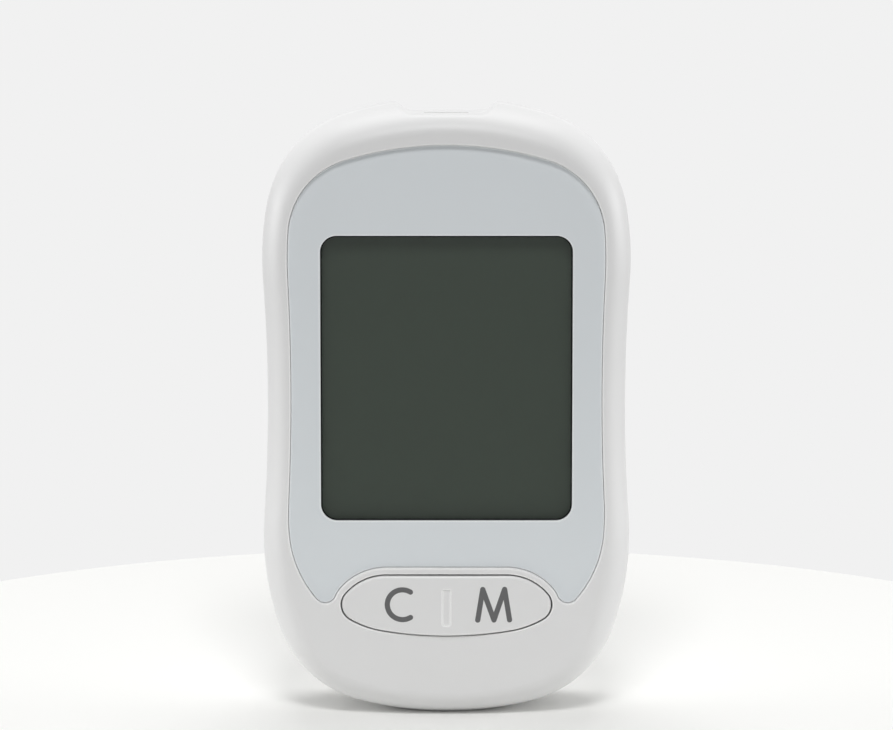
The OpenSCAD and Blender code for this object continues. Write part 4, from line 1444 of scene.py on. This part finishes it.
# %% Cell finishes
bare_can = finish_of("bare can", srgb(200, 200, 198), 0.26, vary=0.05, cloud=300.0, Metallic=1.0)
sleeve_blue = finish_of("cell sleeve", srgb(52, 82, 132), 0.3, vary=0.05, cloud=90.0,
                        wear_and_highlight=srgb(150, 165, 190))
sleeve_band = finish_of("cell band", srgb(206, 178, 128), 0.28, vary=0.05, cloud=90.0,
                        wear_and_highlight=srgb(226, 206, 170), Metallic=1.0)
wear_finish(bare_can, *cells)
for cell in cells:
    cell.data.materials.append(sleeve_blue)
    cell.data.materials.append(sleeve_band)
    base, tip = min(v.co.z for v in cell.data.vertices), max(v.co.z for v in cell.data.vertices)
    for face in cell.data.polygons:
        above = (face.center.z - base if cell == cells[0] else tip - face.center.z) / MM
        if sleeve_from < above < sleeve_to and abs(face.normal.z) < 0.9:
            face.material_index = 2 if above > band_from else 1
print("finishes:", len(bpy.data.materials))

# %% [markdown]
# ## The table
# The meter stands on a round white table top whose far edge crosses the view behind it. A large
# plane would have no edge, and a curved studio sheet would hide where the meter stands. A disc
# with a small bevel gives a soft rim and a clean contact shadow. It belongs to the stage, not to
# the meter.

# %% Floor
table_r, table_y, table_t = 122.6, 7.3, 3.0
table = bar("table", "Z", (0, table_y, -table_t / 2), table_r, table_t, 256)
apply_modifier(table, "BEVEL", width=0.4 * MM, segments=3, limit_method="ANGLE")
table_white = bpy.data.materials.new("table white")
table_white.use_nodes = True
shader = table_white.node_tree.nodes["Principled BSDF"]
shader.inputs["Base Color"].default_value = srgb(250, 250, 248)
shader.inputs["Roughness"].default_value = 0.9
shader.inputs["Specular IOR Level"].default_value = 0.1
wear_finish(table_white, table)
print(f"table of {2 * table_r:.0f} mm")

# %% [markdown]
# ## The wall and the light of the room
# Behind the table is a pale wall, and the room fills the shadows with a little light from all
# sides. One world colour can't do both, because the wall is far brighter than the fill may be. A
# light path tells the two apart: rays that come from the camera, or from a mirror or a clear
# piece, see the wall, and all others get the faint fill.

# %% World
fill_strength = 0.272
world = bpy.data.worlds.new("studio")
bpy.context.scene.world = world
world.use_nodes = True
tree = world.node_tree
fill = tree.nodes["Background"]
fill.inputs["Color"].default_value = (1.0, 1.0, 1.0, 1.0)
fill.inputs["Strength"].default_value = fill_strength
backdrop = tree.nodes.new("ShaderNodeBackground")
backdrop.inputs["Color"].default_value = srgb(241, 241, 241)
ray = tree.nodes.new("ShaderNodeLightPath")
mirrored = calculated(tree, "MAXIMUM", ray.outputs["Is Glossy Ray"], ray.outputs["Is Transmission Ray"])
seen = calculated(tree, "MAXIMUM", ray.outputs["Is Camera Ray"], mirrored)
either = tree.nodes.new("ShaderNodeMixShader")
tree.links.new(seen, either.inputs["Fac"])
tree.links.new(fill.outputs[0], either.inputs[1])
tree.links.new(backdrop.outputs[0], either.inputs[2])
tree.links.new(either.outputs[0], tree.nodes["World Output"].inputs["Surface"])
print("fill light:", fill_strength)

# %% [markdown]
# ## Lamps
# The light is that of a small product studio. A large lamp overhead, a little behind the meter,
# lights the table and the crown. A small one high in front lights the upper side of all that
# stands proud, such as the key. A long strip, low in front, lifts the face, and two broad lamps
# at the sides model the round flanks and soften the shadow under the foot. All are area lamps,
# because a point lamp would throw a hard shadow.


# %% Five lamps
def soft_lamp(name, place, aim, size, watts):
    light = bpy.data.lights.new(name, "AREA")
    light.shape = "RECTANGLE"
    light.size, light.size_y = size
    light.energy = watts
    lamp = bpy.data.objects.new(name, light)
    lamp.location = place
    lamp.rotation_euler = (Vector(aim) - Vector(place)).to_track_quat("-Z", "Y").to_euler()
    bpy.context.scene.collection.objects.link(lamp)


meter_middle = (0, 0, 0.05)
soft_lamp("overhead", (0, 0.27, 0.72), meter_middle, (0.5, 0.5), 2.22)
soft_lamp("front_high", (0, -0.5, 0.65), meter_middle, (0.22, 0.22), 2.42)
soft_lamp("front_low", (0, -0.9, 0.06), meter_middle, (0.9, 0.1), 0.62)
soft_lamp("left_side", (-0.65, 0.14, 0.14), meter_middle, (0.5, 0.24), 1.85)
soft_lamp("right_side", (0.65, 0.14, 0.14), meter_middle, (0.5, 0.24), 1.85)
print("lamps:", [lamp.name for lamp in bpy.data.lights])

# %% [markdown]
# ## The camera
# The camera looks slightly down at the middle of the meter. It stands eight times the meter's
# height away and has a long lens, because from near by the outline would swell in the middle and
# the sides would draw together. View transform Standard keeps the white of the case white.

# %% Camera
distance, elevation, aim_z = 0.8, math.radians(9), 0.05555
cam = bpy.data.cameras.new("view")
cam.sensor_width = 36.0
cam.lens = 200.07
camera = bpy.data.objects.new("view", cam)
camera.location = (0, -distance * math.cos(elevation), aim_z + distance * math.sin(elevation))
camera.rotation_euler = (math.pi / 2 - elevation, 0, 0)
bpy.context.scene.collection.objects.link(camera)
bpy.context.scene.camera = camera
bpy.context.scene.view_settings.view_transform = "Standard"
print(f"camera {distance} m away, lens {cam.lens:.0f} mm")
